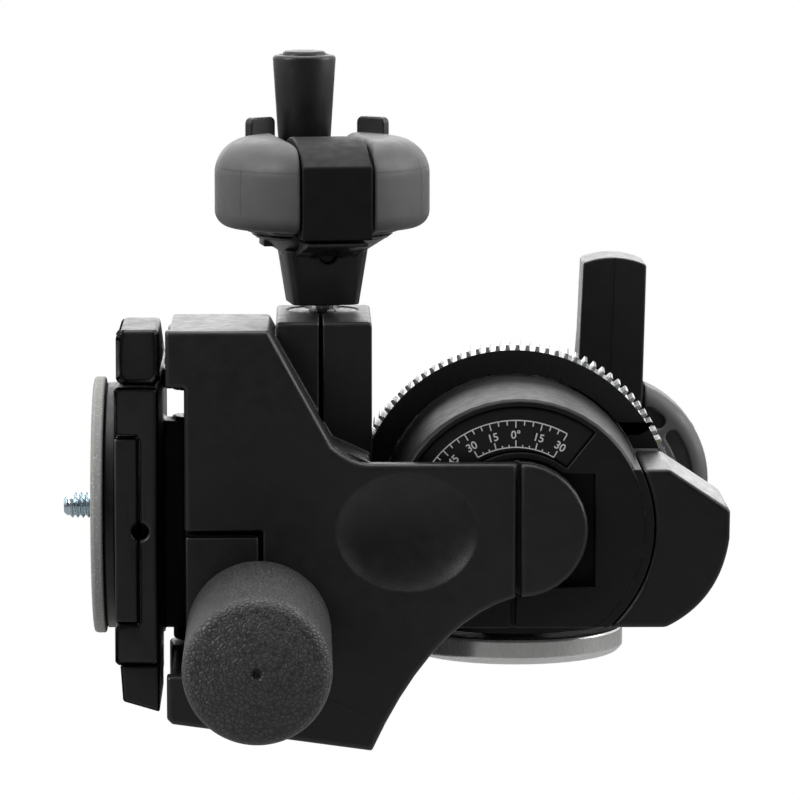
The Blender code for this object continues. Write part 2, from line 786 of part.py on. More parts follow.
def pan_worm_cover():
    """A faceted shell over the worm barrel, following the drum on its inner side."""
    foot = math.asin((HOUSING_LOW_Z - TILT_Z) / COVER_GAP_R)
    top = math.asin((COVER_TOP_Z - COVER_TOP_DROP - TILT_Z) / COVER_GAP_R)
    inner = arc((0, TILT_Z), COVER_GAP_R, foot, top - foot, SMALL_STEPS)[::-1]
    outline = [
        (COVER_LOW_X, HOUSING_LOW_Z), (COVER_TIP_X, COVER_TIP_LOW_Z),
        (COVER_TIP_X, COVER_TIP_HIGH_Z), (COVER_TOP_X, COVER_TOP_Z),
    ] + inner
    cover = prism("pan_worm_cover", outline, COVER_FRONT_Y, COVER_REAR_Y, along_y, COVER_CHAMFER / 2)
    hollow = rod("hollow", BARREL_R + FIT, BARREL_FRONT_Y - FIT, COVER_REAR_Y + OVERRUN, ROUND_STEPS)
    shifted(lay_along_y(hollow), x=PAN_WORM_X, z=PAN_WHEEL_Z)
    can = rod("can", CAN_R + FIT, CAN_LOW_Z - OVERRUN, CAN_TOP_Z + FIT, ROUND_STEPS)
    return cut(cover, hollow, can)


def tilt_worm_wheel():
    """The toothed sector round the drum; a tooth space faces the worm at the left."""
    outline = tooth_outline(TILT_TEETH, GEAR_START, GEAR_SWEEP, GEAR_BORE_R, math.pi)
    wheel = worm_wheel("tilt_worm_wheel", outline, GEAR_WIDTH, TILT_WORM_R, TILT_TEETH)
    moved(wheel, Matrix.Rotation(math.pi / 2, 4, "X"))
    shifted(wheel, y=GEAR_MID_Y, z=TILT_Z)
    under = box("under", (0, GEAR_MID_Y - GEAR_WIDTH, HOUSING_LOW_Z),
                (COVER_TIP_X, GEAR_MID_Y + GEAR_WIDTH, COVER_TOP_Z + FIT))
    return cut(wheel, under)


def pan_worm():
    """The crest faces the wheel at -X, a quarter turn back from +Z about +Y."""
    body = worm_shaft("pan_worm", PAN_WORM_R, -PAN_WORM_REACH, PAN_WORM_REACH, 0, 0,
                      -PAN_WORM_REACH, BARREL_REAR_Y + SHAFT_IN_KNOB)
    moved(body, Matrix.Rotation(math.pi, 4, "Z"))
    return shifted(lay_along_y(body), x=PAN_WORM_X, z=PAN_WHEEL_Z)


# Winged knob, built about +Z from the face that it stands on; its crank points along +Y


def knob_neck():
    low = rounded_rectangle(NECK_LOW_X, NECK_LOW_Y, NECK_ROUND)
    high = rounded_rectangle(NECK_TOP_X, NECK_TOP_Y, NECK_ROUND)
    return object_of("neck", layers([(low, NECK_LOW), (high, NECK_TOP + SINK)], along_z))


def knob_hub():
    """The hub that the wings stand on: a flare over the neck, a lug and a cheek under the crank."""
    hub = turned("hub", [
        (0, NECK_TOP - SINK), (NECK_TOP_X, NECK_TOP - SINK), (HUB_WAIST_R, HUB_WAIST),
        (HUB_R, HUB_RIM), (HUB_R, HUB_TOP), (0, HUB_TOP),
    ])
    lug = box("lug", (-HUB_LUG_X, -HUB_LUG_HALF, HUB_WAIST), (0, HUB_LUG_HALF, HUB_TOP - SINK))
    outline = [(-CHEEK_Y, HUB_TOP - SINK / 2), (-CHEEK_Y, CHEEK_LOW), (-NECK_TOP_Y, NECK_TOP - SINK / 2),
               (0, NECK_TOP - SINK / 2), (0, HUB_TOP - SINK / 2)]
    cheek = prism("cheek", outline, -CRANK_NEAR_HALF, CRANK_NEAR_HALF, along_x)
    return join(hub, lug, cheek)


def knob_core():
    core = join(knob_neck(), knob_hub())
    rail = box("rail", (-RAIL_HALF, -CHEEK_Y + OVERRUN, HUB_TOP - OVERRUN),
               (RAIL_HALF, RAIL_FAR_Y, HUB_TOP + RAIL_H))
    join(core, rail)
    bore = rod("bore", WORM_SHAFT_R + FIT, NECK_LOW - OVERRUN, SHAFT_IN_KNOB + FIT)
    hole = rod("hole", SET_SCREW_HOLE_R, WORM_SHAFT_R - FIT, CHEEK_Y + OVERRUN, SMALL_STEPS)
    shifted(lay_along_minus_y(hole), z=SET_SCREW_AT)
    return cut(core, bore, hole)


def lobe_slot(middle, angle):
    """A curved pocket in the wing's underside."""
    radius = LOBE_R - LOBE_SLOT_OUT - LOBE_SLOT_HALF + FIT
    outline = sector(radius - LOBE_SLOT_HALF, radius + LOBE_SLOT_HALF, middle - angle / 2, angle,
                     SMALL_STEPS // 2)
    return prism("slot", outline, HUB_TOP - OVERRUN, HUB_TOP + LOBE_SLOT_DEPTH, along_z)


def lobe_tab(angle):
    """The finger tab that stands on the wing's outer side, behind the crank."""
    half = TAB_WIDTH / 2
    low = HUB_TOP + LOBE_H - LOBE_TOP_ROUND - OVERRUN
    top = TAB_TOP - TAB_ROUND
    outline = [(-half, low), (half, low)]
    outline += arc((half - TAB_ROUND, top), TAB_ROUND, 0, math.pi / 2, 3)
    outline += arc((-half + TAB_ROUND, top), TAB_ROUND, math.pi / 2, math.pi / 2, 3)
    far = LOBE_R - TAB_INSET
    tab = prism("tab", outline, far - TAB_T, far, along_y)
    return moved(tab, Matrix.Rotation(angle - math.pi / 2, 4, "Z"))


def knob_lobe(side):
    """A rubber wing: part of a turned form, with a tab above and three pockets below."""
    low = HUB_TOP + FIT
    top = low + LOBE_H
    profile = [(0, low), (HUB_R, low)] + [
        (LOBE_R - LOBE_LOW_ROUND + x, low + LOBE_RISE + LOBE_LOW_ROUND + z)
        for x, z in arc((0, 0), LOBE_LOW_ROUND, -math.pi / 2, math.pi / 2, 4)
    ] + [
        (LOBE_R - LOBE_TOP_ROUND + x, top - LOBE_TOP_ROUND + z)
        for x, z in arc((0, 0), LOBE_TOP_ROUND, 0, math.pi / 2, 6)
    ] + [(0, top)]
    lobe = turned("lobe", profile)
    far = LOBE_R + OVERRUN
    crown = top - LOBE_END_ROUND + FIT / 2
    half = [(far, top + OVERRUN), (LOBE_INNER_X + LOBE_END_ROUND, top + OVERRUN)]
    half += arc((LOBE_INNER_X + LOBE_END_ROUND, crown), LOBE_END_ROUND, math.pi / 2, math.pi / 2, 5)
    half += [(LOBE_INNER_X, low - OVERRUN), (far, low - OVERRUN)]
    keep(lobe, prism("half", half, -far, far, along_y))
    join(lobe, lobe_tab(TAB_RIGHT if side > 0 else math.pi - TAB_LEFT))
    cut(lobe, lobe_slot(0, LOBE_LONG_SLOT), lobe_slot(LOBE_SHORT_SLOT_AT, LOBE_SHORT_SLOT),
        lobe_slot(-LOBE_SHORT_SLOT_AT, LOBE_SHORT_SLOT))
    if side < 0:
        moved(lobe, Matrix.Diagonal((-1, 1, 1, 1)))
        lobe.data.flip_normals()
    return lobe


def knob_crank():
    """The bar that slides across the knob, with a domed end, a hump and the grip's post."""
    dome = [(-CRANK_FAR_HALF, CRANK_FRONT - CRANK_DOME), (-CRANK_NEAR_HALF, -CRANK_BACK),
            (CRANK_NEAR_HALF, -CRANK_BACK), (CRANK_FAR_HALF, CRANK_FRONT - CRANK_DOME),
            (CRANK_FAR_HALF / 2, CRANK_FRONT - CRANK_DOME / 4), (0, CRANK_FRONT),
            (-CRANK_FAR_HALF / 2, CRANK_FRONT - CRANK_DOME / 4)]
    low = HUB_TOP + FIT
    bar = prism("bar", dome, low, CRANK_TOP, along_z, EDGE_ROUND / 2)
    groove = box("groove", (-RAIL_HALF - FIT, -CRANK_BACK - OVERRUN, low - OVERRUN),
                 (RAIL_HALF + FIT, RAIL_FAR_Y + FIT, HUB_TOP + RAIL_H + FIT))
    cut(bar, groove)
    half = CRANK_NEAR_HALF - EDGE_ROUND / 2
    post = rod("post", POST_R, CRANK_TOP - SINK, CRANK_TOP + GRIP_H * POST_SHARE)
    return join(bar, crank_hump(half), shifted(post, x=GRIP_ASIDE, y=GRIP_AT))


def crank_hump(half):
    """A low arch on the bar's top, from its near end to just before the grip."""
    start = -CRANK_BACK + EDGE_ROUND / 2
    chord = HUMP_END_Y - start
    radius = (chord * chord / 4 + HUMP_H * HUMP_H) / (2 * HUMP_H)
    spread = math.asin(chord / 2 / radius)
    centre = ((HUMP_END_Y + start) / 2, CRANK_TOP + HUMP_H - radius)
    outline = arc(centre, radius, math.pi / 2 - spread, 2 * spread, HUMP_STEPS)
    outline = [(HUMP_END_Y, CRANK_TOP - SINK)] + outline + [(start, CRANK_TOP - SINK)]
    return prism("hump", outline, -half, half, along_x)


def knob_grip():
    low = CRANK_TOP + FIT
    top = low + GRIP_H
    bore_top = CRANK_TOP + GRIP_H * POST_SHARE + FIT
    grip = turned("grip", [
        (0, bore_top), (POST_R + FIT, bore_top), (POST_R + FIT, low), (GRIP_LOW_R, low),
        (GRIP_TOP_R, top), (GRIP_TOP_R - GRIP_LIP, top + GRIP_LIP / 2),
        (GRIP_TOP_R / 2, top + GRIP_DOME), (0, top + GRIP_DOME),
    ], SMALL_STEPS + 8)
    return shifted(grip, x=GRIP_ASIDE, y=GRIP_AT)


def knob_screw():
    """The set screw in the neck, against the shaft."""
    screw = rod("screw", SET_SCREW_R, WORM_SHAFT_R + FIT, NECK_TOP_Y - SET_SCREW_SUNK)
    return shifted(lay_along_minus_y(screw), z=SET_SCREW_AT)


def knob_washer():
    return ring("washer", WORM_SHAFT_R + FIT, WASHER_OUT_R, FIT, FIT + WASHER_T, SMALL_STEPS + 8)


def winged_knob(prefix, place, control, crank_frame, grip_frame, housing):
    """Places a knob's pieces by one matrix and hangs each on its own joint frame."""
    pieces = (
        (knob_core(), "core", BLACK_GLOSS, control),
        (knob_lobe(-1), "left_lobe", RUBBER, control),
        (knob_lobe(1), "right_lobe", RUBBER, control),
        (knob_screw(), "set_screw", STEEL, control),
        (knob_crank(), "crank_arm", BLACK_CAST, crank_frame),
        (knob_grip(), "crank_grip", BLACK_CAST, grip_frame),
        (knob_washer(), "washer", ALUMINIUM, housing),
    )
    for obj, name, look, frame in pieces:
        finish(moved(obj, place), prefix + "_" + name, look, frame)


# Casting that tilts sideways


def arm_outline():
    """Seen from the front: the arm, the block with its two lugs and the curved foot."""
    top = TILT_Z + ARM_HALF
    low = TILT_Z - ARM_HALF
    foot = bezier((ARM_END_X, low), (CURVE_X, CURVE_Z), (FOOT_RIGHT_X, FOOT_RIGHT_Z), CURVE_STEPS)
    neck = bezier((RIDGE_LOW_X, RIDGE_LOW_Z), (RIDGE_LOW_X / 2 + ARM_TOP_X / 2, top),
                  (ARM_TOP_X, top), 4)
    return foot + [
        (LUG_LEFT_X + EDGE_ROUND, FOOT_LEFT_Z), (LUG_LEFT_X, FOOT_LEFT_Z + EDGE_ROUND),
        (LUG_LEFT_X, LUG_LOW_Z), (BLOCK_LEFT_X, LUG_LOW_Z), (BLOCK_LEFT_X, LUG_HIGH_Z),
        (LUG_LEFT_X, LUG_HIGH_Z), (LUG_LEFT_X, BLOCK_TOP_Z), (RIDGE_TOP_X, BLOCK_TOP_Z),
    ] + neck + [(ARM_END_X, top)]


def block_outline():
    top = TILT_Z + ARM_HALF
    return [
        (BLOCK_RIGHT_X, top), (RIDGE_LOW_X, RIDGE_LOW_Z), (RIDGE_TOP_X, BLOCK_TOP_Z - SINK),
        (LUG_LEFT_X + SINK, BLOCK_TOP_Z - SINK), (LUG_LEFT_X + SINK, LUG_HIGH_Z + SINK),
        (BLOCK_LEFT_X, LUG_HIGH_Z + SINK), (BLOCK_LEFT_X, LUG_LOW_Z - SINK),
        (LUG_LEFT_X + SINK, LUG_LOW_Z - SINK), (LUG_LEFT_X + SINK, FOOT_LEFT_Z + EDGE_ROUND),
        (FOOT_RIGHT_X - SINK, FOOT_RIGHT_Z + SINK), (BLOCK_RIGHT_X, FOOT_RIGHT_Z + EDGE_ROUND),
    ]


def lug(name, low, high):
    """A lug's rear part, round about the forward tilt pin."""
    outline = [(FRONT_X - LUG_END_R + SINK, BLOCK_REAR_Y - OVERRUN),
               (FRONT_WORM_X, BLOCK_REAR_Y - OVERRUN), (FRONT_WORM_X, FRONT_Y)]
    outline += arc((FRONT_X, FRONT_Y), LUG_END_R, math.pi / 4, math.pi * 3 / 4, 8)
    return prism(name, outline, low, high, along_z)


def casting_body():
    plate = prism("main_casting", arm_outline(), ARM_FRONT_Y, ARM_BACK_Y, along_y, ARM_CHAMFER)
    block = prism("block", block_outline(), ARM_BACK_Y - OVERRUN, BLOCK_REAR_Y, along_y)
    worm_block = box("worm_block", (WORM_BLOCK_LEFT_X, WORM_BLOCK_FRONT_Y, WORM_BLOCK_LOW_Z),
                     (WORM_BLOCK_RIGHT_X, WORM_BLOCK_REAR_Y, BLOCK_TOP_Z), EDGE_ROUND / 2)
    hub = rod("hub", ARM_HALF, ARM_BACK_Y - SINK, ARM_BACK_Y + HUB_DEPTH, ROUND_STEPS)
    shifted(lay_along_y(hub), z=TILT_Z)
    boss = rod("boss", FRONT_BOSS_R, BLOCK_REAR_Y - OVERRUN, FRONT_BOSS_REAR_Y, ROUND_STEPS)
    shifted(lay_along_y(boss), x=FRONT_WORM_X, z=FRONT_WORM_Z)
    return join(plate, block, worm_block, hub, boss,
                lug("high_lug", LUG_HIGH_Z, LUG_REAR_TOP_Z), lug("low_lug", FOOT_LEFT_Z + EDGE_ROUND, LUG_LOW_Z))


def dish_cutter():
    """A flattened ball whose rim on the arm's face is the oval dish."""
    depth = DISH_DEPTH + DISH_CENTRE_OUT
    grow = 1 / math.sqrt(1 - (DISH_CENTRE_OUT / depth) ** 2)
    profile = [(0, -depth)] + [
        (depth * math.cos(a), depth * math.sin(a))
        for a in (math.pi * (i / 16 - 0.5) for i in range(1, 16))
    ] + [(0, depth)]
    ball = turned("dish", profile, ROUND_STEPS)
    lay_along_y(ball)
    moved(ball, Matrix.Diagonal((DISH_HALF_X * grow / depth, 1, DISH_HALF_Z * grow / depth, 1)))
    return shifted(ball, x=DISH_X, y=ARM_FRONT_Y - DISH_CENTRE_OUT, z=DISH_Z)


def main_casting():
    body = casting_body()
    worm_clear = TILT_WORM_R + ADDENDUM + WORM_SLACK
    worm_bore = rod("worm_bore", worm_clear, TILT_Z - TILT_WORM_REACH - OVERRUN,
                    BLOCK_TOP_Z + OVERRUN, ROUND_STEPS)
    shifted(worm_bore, x=TILT_WORM_X, y=GEAR_MID_Y)
    gear = ring("gear", GEAR_BORE_R - OVERRUN, TILT_TEETH * MODULE / 2 + ADDENDUM + WORM_SLACK,
                GEAR_MID_Y - GEAR_WIDTH / 2 - WORM_SLACK, GEAR_MID_Y + GEAR_WIDTH / 2 + WORM_SLACK,
                ROUND_STEPS + SMALL_STEPS)
    shifted(lay_along_y(gear), z=TILT_Z)
    slit = box("slit", (TILT_WORM_X - SLIT_WIDTH, WORM_BLOCK_FRONT_Y - OVERRUN, SLIT_LOW_Z),
               (TILT_WORM_X, GEAR_MID_Y, BLOCK_TOP_Z + OVERRUN))
    front_clear = FRONT_WORM_R + ADDENDUM + WORM_SLACK
    front_bore = rod("front_bore", front_clear, FRONT_Y - TILT_WORM_REACH,
                     FRONT_BOSS_REAR_Y + OVERRUN, ROUND_STEPS)
    shifted(lay_along_y(front_bore), x=FRONT_WORM_X, z=FRONT_WORM_Z)
    shaft_bore = rod("shaft_bore", WORM_SHAFT_R + FIT, ARM_FRONT_Y - OVERRUN, FRONT_Y, ROUND_STEPS)
    shifted(lay_along_y(shaft_bore), x=FRONT_WORM_X, z=FRONT_WORM_Z)
    wheel_r = FRONT_TEETH * MODULE / 2 + ADDENDUM + WORM_SLACK
    wheel_half = FRONT_WHEEL_H / 2 + WORM_SLACK
    wheel = rod("wheel", wheel_r, FRONT_WORM_Z - wheel_half, FRONT_WORM_Z + wheel_half, ROUND_STEPS)
    shifted(wheel, x=FRONT_X, y=FRONT_Y)
    knuckle = rod("knuckle", KNUCKLE_R + WORM_SLACK, LUG_LOW_Z, LUG_HIGH_Z, ROUND_STEPS)
    shifted(knuckle, x=FRONT_X, y=FRONT_Y)
    pin = rod("pin", PIN_R + FIT, FOOT_LEFT_Z - OVERRUN, LUG_REAR_TOP_Z + OVERRUN)
    shifted(pin, x=FRONT_X, y=FRONT_Y)
    spindle = rod("spindle", SPINDLE_R + FIT, ARM_BACK_Y, SPINDLE_BACK_Y, ROUND_STEPS)
    shifted(lay_along_y(spindle), z=TILT_Z)
    return cut(body, worm_bore, gear, slit, front_bore, shaft_bore, wheel, knuckle, pin, spindle,
               dish_cutter(), plate_pocket())


def plate_pocket():
    """The pocket for the cover plate, open to the left, round the front knob's shaft boss."""
    pocket = box("pocket", (BLOCK_LEFT_X - OVERRUN, ARM_FRONT_Y - OVERRUN, PLATE_POCKET_LOW_Z),
                 (PLATE_POCKET_RIGHT_X, ARM_FRONT_Y + PLATE_POCKET_DEPTH, PLATE_POCKET_TOP_Z))
    boss = rod("boss", SHAFT_BOSS_R, ARM_FRONT_Y - OVERRUN * 2, ARM_FRONT_Y + PLATE_POCKET_DEPTH + OVERRUN,
               ROUND_STEPS)
    shifted(lay_along_y(boss), x=FRONT_WORM_X, z=FRONT_WORM_Z)
    return cut(pocket, boss)


def front_cover_plate():
    plate = box("front_cover_plate",
                (BLOCK_LEFT_X + FIT, ARM_FRONT_Y, PLATE_POCKET_LOW_Z + FIT),
                (PLATE_POCKET_RIGHT_X - PLATE_SLOT, ARM_FRONT_Y + PLATE_POCKET_DEPTH - FIT,
                 PLATE_POCKET_TOP_Z - PLATE_SLOT), EDGE_ROUND / 3)
    boss = rod("boss", SHAFT_BOSS_R + FIT, ARM_FRONT_Y - OVERRUN, ARM_FRONT_Y + PLATE_POCKET_DEPTH + OVERRUN,
               ROUND_STEPS)
    shifted(lay_along_y(boss), x=FRONT_WORM_X, z=FRONT_WORM_Z)
    return cut(plate, boss)


def tilt_spindle():
    spindle = rod("tilt_spindle", SPINDLE_R, ARM_BACK_Y + FIT, SPINDLE_BACK_Y, ROUND_STEPS)
    return shifted(lay_along_y(spindle), z=TILT_Z)


def arm_end_cap():
    """The half-round cap that closes the arm's end over the spindle."""
    outline = [(CAP_START_X, TILT_Z - ARM_HALF)]
    outline += arc((CAP_START_X, TILT_Z), ARM_HALF, -math.pi / 2, math.pi, SMALL_STEPS)[1:]
    return prism("arm_end_cap", outline, ARM_FRONT_Y, ARM_BACK_Y - SINK - FIT, along_y, ARM_CHAMFER)


def tilt_worm_bush():
    bush = ring("tilt_worm_bush", WORM_SHAFT_R + BUSH_BORE_SLACK,
                TILT_WORM_R + ADDENDUM + WORM_SLACK - FIT, BLOCK_TOP_Z - BUSH_H, BLOCK_TOP_Z - FIT)
    return shifted(bush, x=TILT_WORM_X, y=GEAR_MID_Y)


def tilt_worm():
    body = worm_shaft("tilt_worm", TILT_WORM_R, TILT_Z - TILT_WORM_REACH, TILT_Z + TILT_WORM_REACH,
                      TILT_Z, 0, TILT_Z - TILT_WORM_REACH, BLOCK_TOP_Z + SHAFT_IN_KNOB)
    return shifted(body, x=TILT_WORM_X, y=GEAR_MID_Y)


def front_worm():
    """Built about +Z and laid along +Y, with a crest towards the wheel at -X."""
    half = TILT_WORM_REACH / 2 + PITCH
    body = worm_shaft("front_worm", FRONT_WORM_R, FRONT_Y - half, FRONT_BOSS_REAR_Y, FRONT_Y, 0,
                      ARM_FRONT_Y - ROLL_LENGTH / 2, FRONT_BOSS_REAR_Y - SINK)
    moved(body, Matrix.Rotation(math.pi, 4, "Z"))
    return shifted(lay_along_y(body), x=FRONT_WORM_X, z=FRONT_WORM_Z)


def front_knob_core():
    """The hard core on the worm shaft, inside the rubber."""
    far = ROLL_LENGTH - ROLL_WALL - FIT
    shaft_end = ROLL_LENGTH / 2 + FIT
    core = turned("front_knob_core", [
        (0, shaft_end), (WORM_SHAFT_R + FIT, shaft_end), (WORM_SHAFT_R + FIT, ROLL_GAP),
        (ROLL_R - ROLL_WALL - FIT, ROLL_GAP), (ROLL_R - ROLL_WALL - FIT, far), (0, far),
    ], SMALL_STEPS + 8)
    return place_roll(core)


def place_roll(obj):
    return shifted(lay_along_minus_y(obj), x=FRONT_WORM_X, y=ARM_FRONT_Y, z=FRONT_WORM_Z)


def front_knob_grip():
    """The rubber sleeve with its rounded, slightly domed end and small centre dimple."""
    far = ROLL_LENGTH
    inner = ROLL_R - ROLL_WALL
    corner = [
        (ROLL_R - ROLL_ROUND + x, far - ROLL_ROUND + z)
        for x, z in arc((0, 0), ROLL_ROUND, 0, math.pi / 2, 4)
    ]
    grip = turned("front_knob_grip", [
        (0, far - ROLL_WALL), (inner, far - ROLL_WALL), (inner, ROLL_GAP),
        (ROLL_R - SINK, ROLL_GAP), (ROLL_R, ROLL_GAP + SINK),
    ] + corner + [
        (ROLL_R / 2, far + ROLL_DOME - ROLL_DOME / 4), (ROLL_DIMPLE_RIM_R, far + ROLL_DOME),
        (ROLL_DIMPLE_R, far + ROLL_DOME - ROLL_DIMPLE_R / 2), (0, far + ROLL_DOME - ROLL_DIMPLE_R),
    ])
    return place_roll(grip)


def front_pivot_pin():
    pin = rod("front_pivot_pin", PIN_R, FOOT_LEFT_Z + EDGE_ROUND + FIT, LUG_REAR_TOP_Z - FIT)
    return shifted(pin, x=FRONT_X, y=FRONT_Y)


# Pieces that tilt forwards


def adapter_body():
    outline = [
        (ADAPTER_BACK_X, ADAPTER_LOW_Z), (ADAPTER_BACK_X, ADAPTER_HIGH_Z),
        (ADAPTER_OUT_X, ADAPTER_HIGH_Z), (ADAPTER_OUT_X, PLATE_HIGH_Z), (PLATE_BACK_X, PLATE_HIGH_Z),
        (PLATE_BACK_X, PLATE_LOW_Z), (ADAPTER_OUT_X, PLATE_LOW_Z), (ADAPTER_OUT_X, ADAPTER_LOW_Z),
    ]
    body = prism("adapter_body", outline, -ADAPTER_HALF_Y, ADAPTER_HALF_Y, along_y, EDGE_ROUND / 3)
    knuckles = (("low_knuckle", LUG_LOW_Z + FIT, KNUCKLE_GAP_LOW_Z),
                ("high_knuckle", KNUCKLE_GAP_HIGH_Z, LUG_HIGH_Z - FIT))
    for name, low, high in knuckles:
        barrel = rod(name, KNUCKLE_R, low, high, SMALL_STEPS)
        shifted(barrel, x=FRONT_X, y=FRONT_Y)
        web = box("web", (ADAPTER_BACK_X - SINK, FRONT_Y - WEB_HALF_Y, max(low, ADAPTER_LOW_Z) + SINK),
                  (FRONT_X, FRONT_Y + WEB_HALF_Y, high - SINK))
        join(body, web, barrel)
    bore = rod("bore", PIN_R + FIT, LUG_LOW_Z - OVERRUN, LUG_HIGH_Z + OVERRUN)
    shifted(bore, x=FRONT_X, y=FRONT_Y)
    tongue = box("tongue", (TONGUE_FRONT_X, LEVER_PIVOT_Y - TONGUE_HALF_Y, LEVER_LOW_Z + EDGE_ROUND),
                 (ADAPTER_BACK_X - SINK / 2, LEVER_PIVOT_Y + TONGUE_HALF_Y, ADAPTER_LOW_Z + SINK * 2))
    join(body, tongue)
    screw = rod("screw", PIN_R + FIT, -OVERRUN, OVERRUN * 2)
    moved(screw, Matrix.Rotation(math.pi / 2, 4, "Y"))
    shifted(screw, x=TONGUE_FRONT_X, y=LEVER_PIVOT_Y, z=LEVER_PIVOT_Z)
    pin_hole = rod("pin_hole", PIN_HOLE_R, -ADAPTER_HALF_Y - OVERRUN, -ADAPTER_HALF_Y + PIN_HOLE_DEPTH)
    shifted(lay_along_y(pin_hole), x=PLATE_BACK_X + FIT, z=PIN_HOLE_Z)
    return cut(body, bore, screw, pin_hole)


def front_worm_wheel():
    outline = tooth_outline(FRONT_TEETH, FRONT_WHEEL_FROM, FRONT_WHEEL_SWEEP, KNUCKLE_R + FIT, 0)
    wheel = worm_wheel("front_worm_wheel", outline, FRONT_WHEEL_H, FRONT_WORM_R, FRONT_TEETH)
    return shifted(wheel, x=FRONT_X, y=FRONT_Y, z=FRONT_WORM_Z)


def fixed_jaw():
    outline = [(ADAPTER_BACK_X, JAW_LOW_Z), (ADAPTER_BACK_X, JAW_HIGH_Z),
               (JAW_OUT_X + EDGE_ROUND, JAW_HIGH_Z - EDGE_ROUND / 2), (JAW_OUT_X, JAW_HIGH_Z - EDGE_ROUND * 2),
               (JAW_OUT_X, JAW_LOW_Z)]
    return prism("fixed_jaw", outline, -JAW_HALF_Y, JAW_HALF_Y, along_y, EDGE_ROUND / 3)


def lock_lever():
    outline = [(ADAPTER_BACK_X, LEVER_HIGH_Z), (LEVER_OUT_X, LEVER_HIGH_Z),
               (LEVER_OUT_X + EDGE_ROUND / 2, LEVER_LOW_OUT_Z), (ADAPTER_BACK_X, LEVER_LOW_Z)]
    lever = prism("lock_lever", outline, LEVER_FRONT_Y, LEVER_REAR_Y, along_y, EDGE_ROUND / 3)
    end = rod("end", LEVER_HIGH_Z - LEVER_PIVOT_Z, LEVER_OUT_X - OVERRUN, ADAPTER_BACK_X + OVERRUN,
              ROUND_STEPS)
    moved(end, Matrix.Rotation(math.pi / 2, 4, "Y"))
    shifted(end, y=LEVER_PIVOT_Y, z=LEVER_PIVOT_Z)
    rest = box("rest", (LEVER_OUT_X - OVERRUN, LEVER_PIVOT_Y, LEVER_LOW_Z - OVERRUN),
               (ADAPTER_BACK_X + OVERRUN * 2, LEVER_REAR_Y + OVERRUN, LEVER_HIGH_Z + OVERRUN))
    cut(lever, cut(rest, end))
    notch = box("notch", (TONGUE_FRONT_X - FIT, LEVER_PIVOT_Y - NOTCH_FRONT, LEVER_LOW_Z - OVERRUN),
                (ADAPTER_BACK_X + OVERRUN, LEVER_REAR_Y + OVERRUN, LEVER_HIGH_Z + OVERRUN))
    bore = rod("bore", PIN_R + FIT, LEVER_OUT_X - OVERRUN, ADAPTER_BACK_X + OVERRUN)
    moved(bore, Matrix.Rotation(math.pi / 2, 4, "Y"))
    shifted(bore, y=LEVER_PIVOT_Y, z=LEVER_PIVOT_Z)
    return cut(lever, notch, bore)


def lever_screw():
    pin = rod("lever_screw", PIN_R, LEVER_OUT_X + EDGE_ROUND, ADAPTER_BACK_X - FIT)
    moved(pin, Matrix.Rotation(math.pi / 2, 4, "Y"))
    return shifted(pin, y=LEVER_PIVOT_Y, z=LEVER_PIVOT_Z)


def camera_plate():
    slab = box("camera_plate", (ADAPTER_OUT_X, -ADAPTER_HALF_Y + FIT, PLATE_LOW_Z + FIT),
               (PLATE_BACK_X - FIT, ADAPTER_HALF_Y - FIT, PLATE_HIGH_Z - FIT), EDGE_ROUND / 3)
    boss = rod("boss", BOSS_R, DISC_OUT_X + DISC_T + FIT, ADAPTER_OUT_X - FIT, ROUND_STEPS)
    neck = rod("neck", BOSS_NECK_R, ADAPTER_OUT_X - FIT * 2, ADAPTER_OUT_X + SINK, ROUND_STEPS)
    for obj in (boss, neck):
        moved(obj, Matrix.Rotation(math.pi / 2, 4, "Y"))
        shifted(obj, z=DISC_Z)
    join(slab, neck, boss)
    hole = rod("hole", SCREW_HOLE_R, DISC_OUT_X - OVERRUN, PLATE_BACK_X + OVERRUN)
    seat = rod("seat", SCREW_HEAD_R + FIT, PLATE_BACK_X - SCREW_HEAD_T - FIT * 3, PLATE_BACK_X + OVERRUN,
               ROUND_STEPS)
    for obj in (hole, seat):
        moved(obj, Matrix.Rotation(math.pi / 2, 4, "Y"))
        shifted(obj, z=DISC_Z)
    pin_hole = rod("pin_hole", PIN_HOLE_R, -ADAPTER_HALF_Y - OVERRUN, -ADAPTER_HALF_Y + PIN_HOLE_DEPTH)
    shifted(lay_along_y(pin_hole), x=PLATE_BACK_X + FIT, z=PIN_HOLE_Z)
    return cut(slab, hole, seat, pin_hole)


def camera_disc():
    disc = turned("camera_disc", [
        (SCREW_HOLE_R, 0), (DISC_R, 0), (DISC_R, DISC_T - DISC_ROUND),
        (DISC_R - DISC_ROUND, DISC_T), (SCREW_HOLE_R, DISC_T),
    ], ROUND_STEPS + SMALL_STEPS)
    return shifted(lay_along_minus_x(disc), x=DISC_OUT_X + DISC_T, z=DISC_Z)


def camera_screw():
    back = PLATE_BACK_X - FIT * 2
    head = back - SCREW_HEAD_T
    screw = turned("camera_screw", [
        (0, -back), (SCREW_HEAD_R, -back), (SCREW_HEAD_R, -head), (SCREW_R, -head),
        (SCREW_R, -SCREW_TIP_X - SINK), (SCREW_R - SINK, -SCREW_TIP_X), (0, -SCREW_TIP_X),
    ], SMALL_STEPS + 8)
    return shifted(lay_along_minus_x(screw), z=DISC_Z)


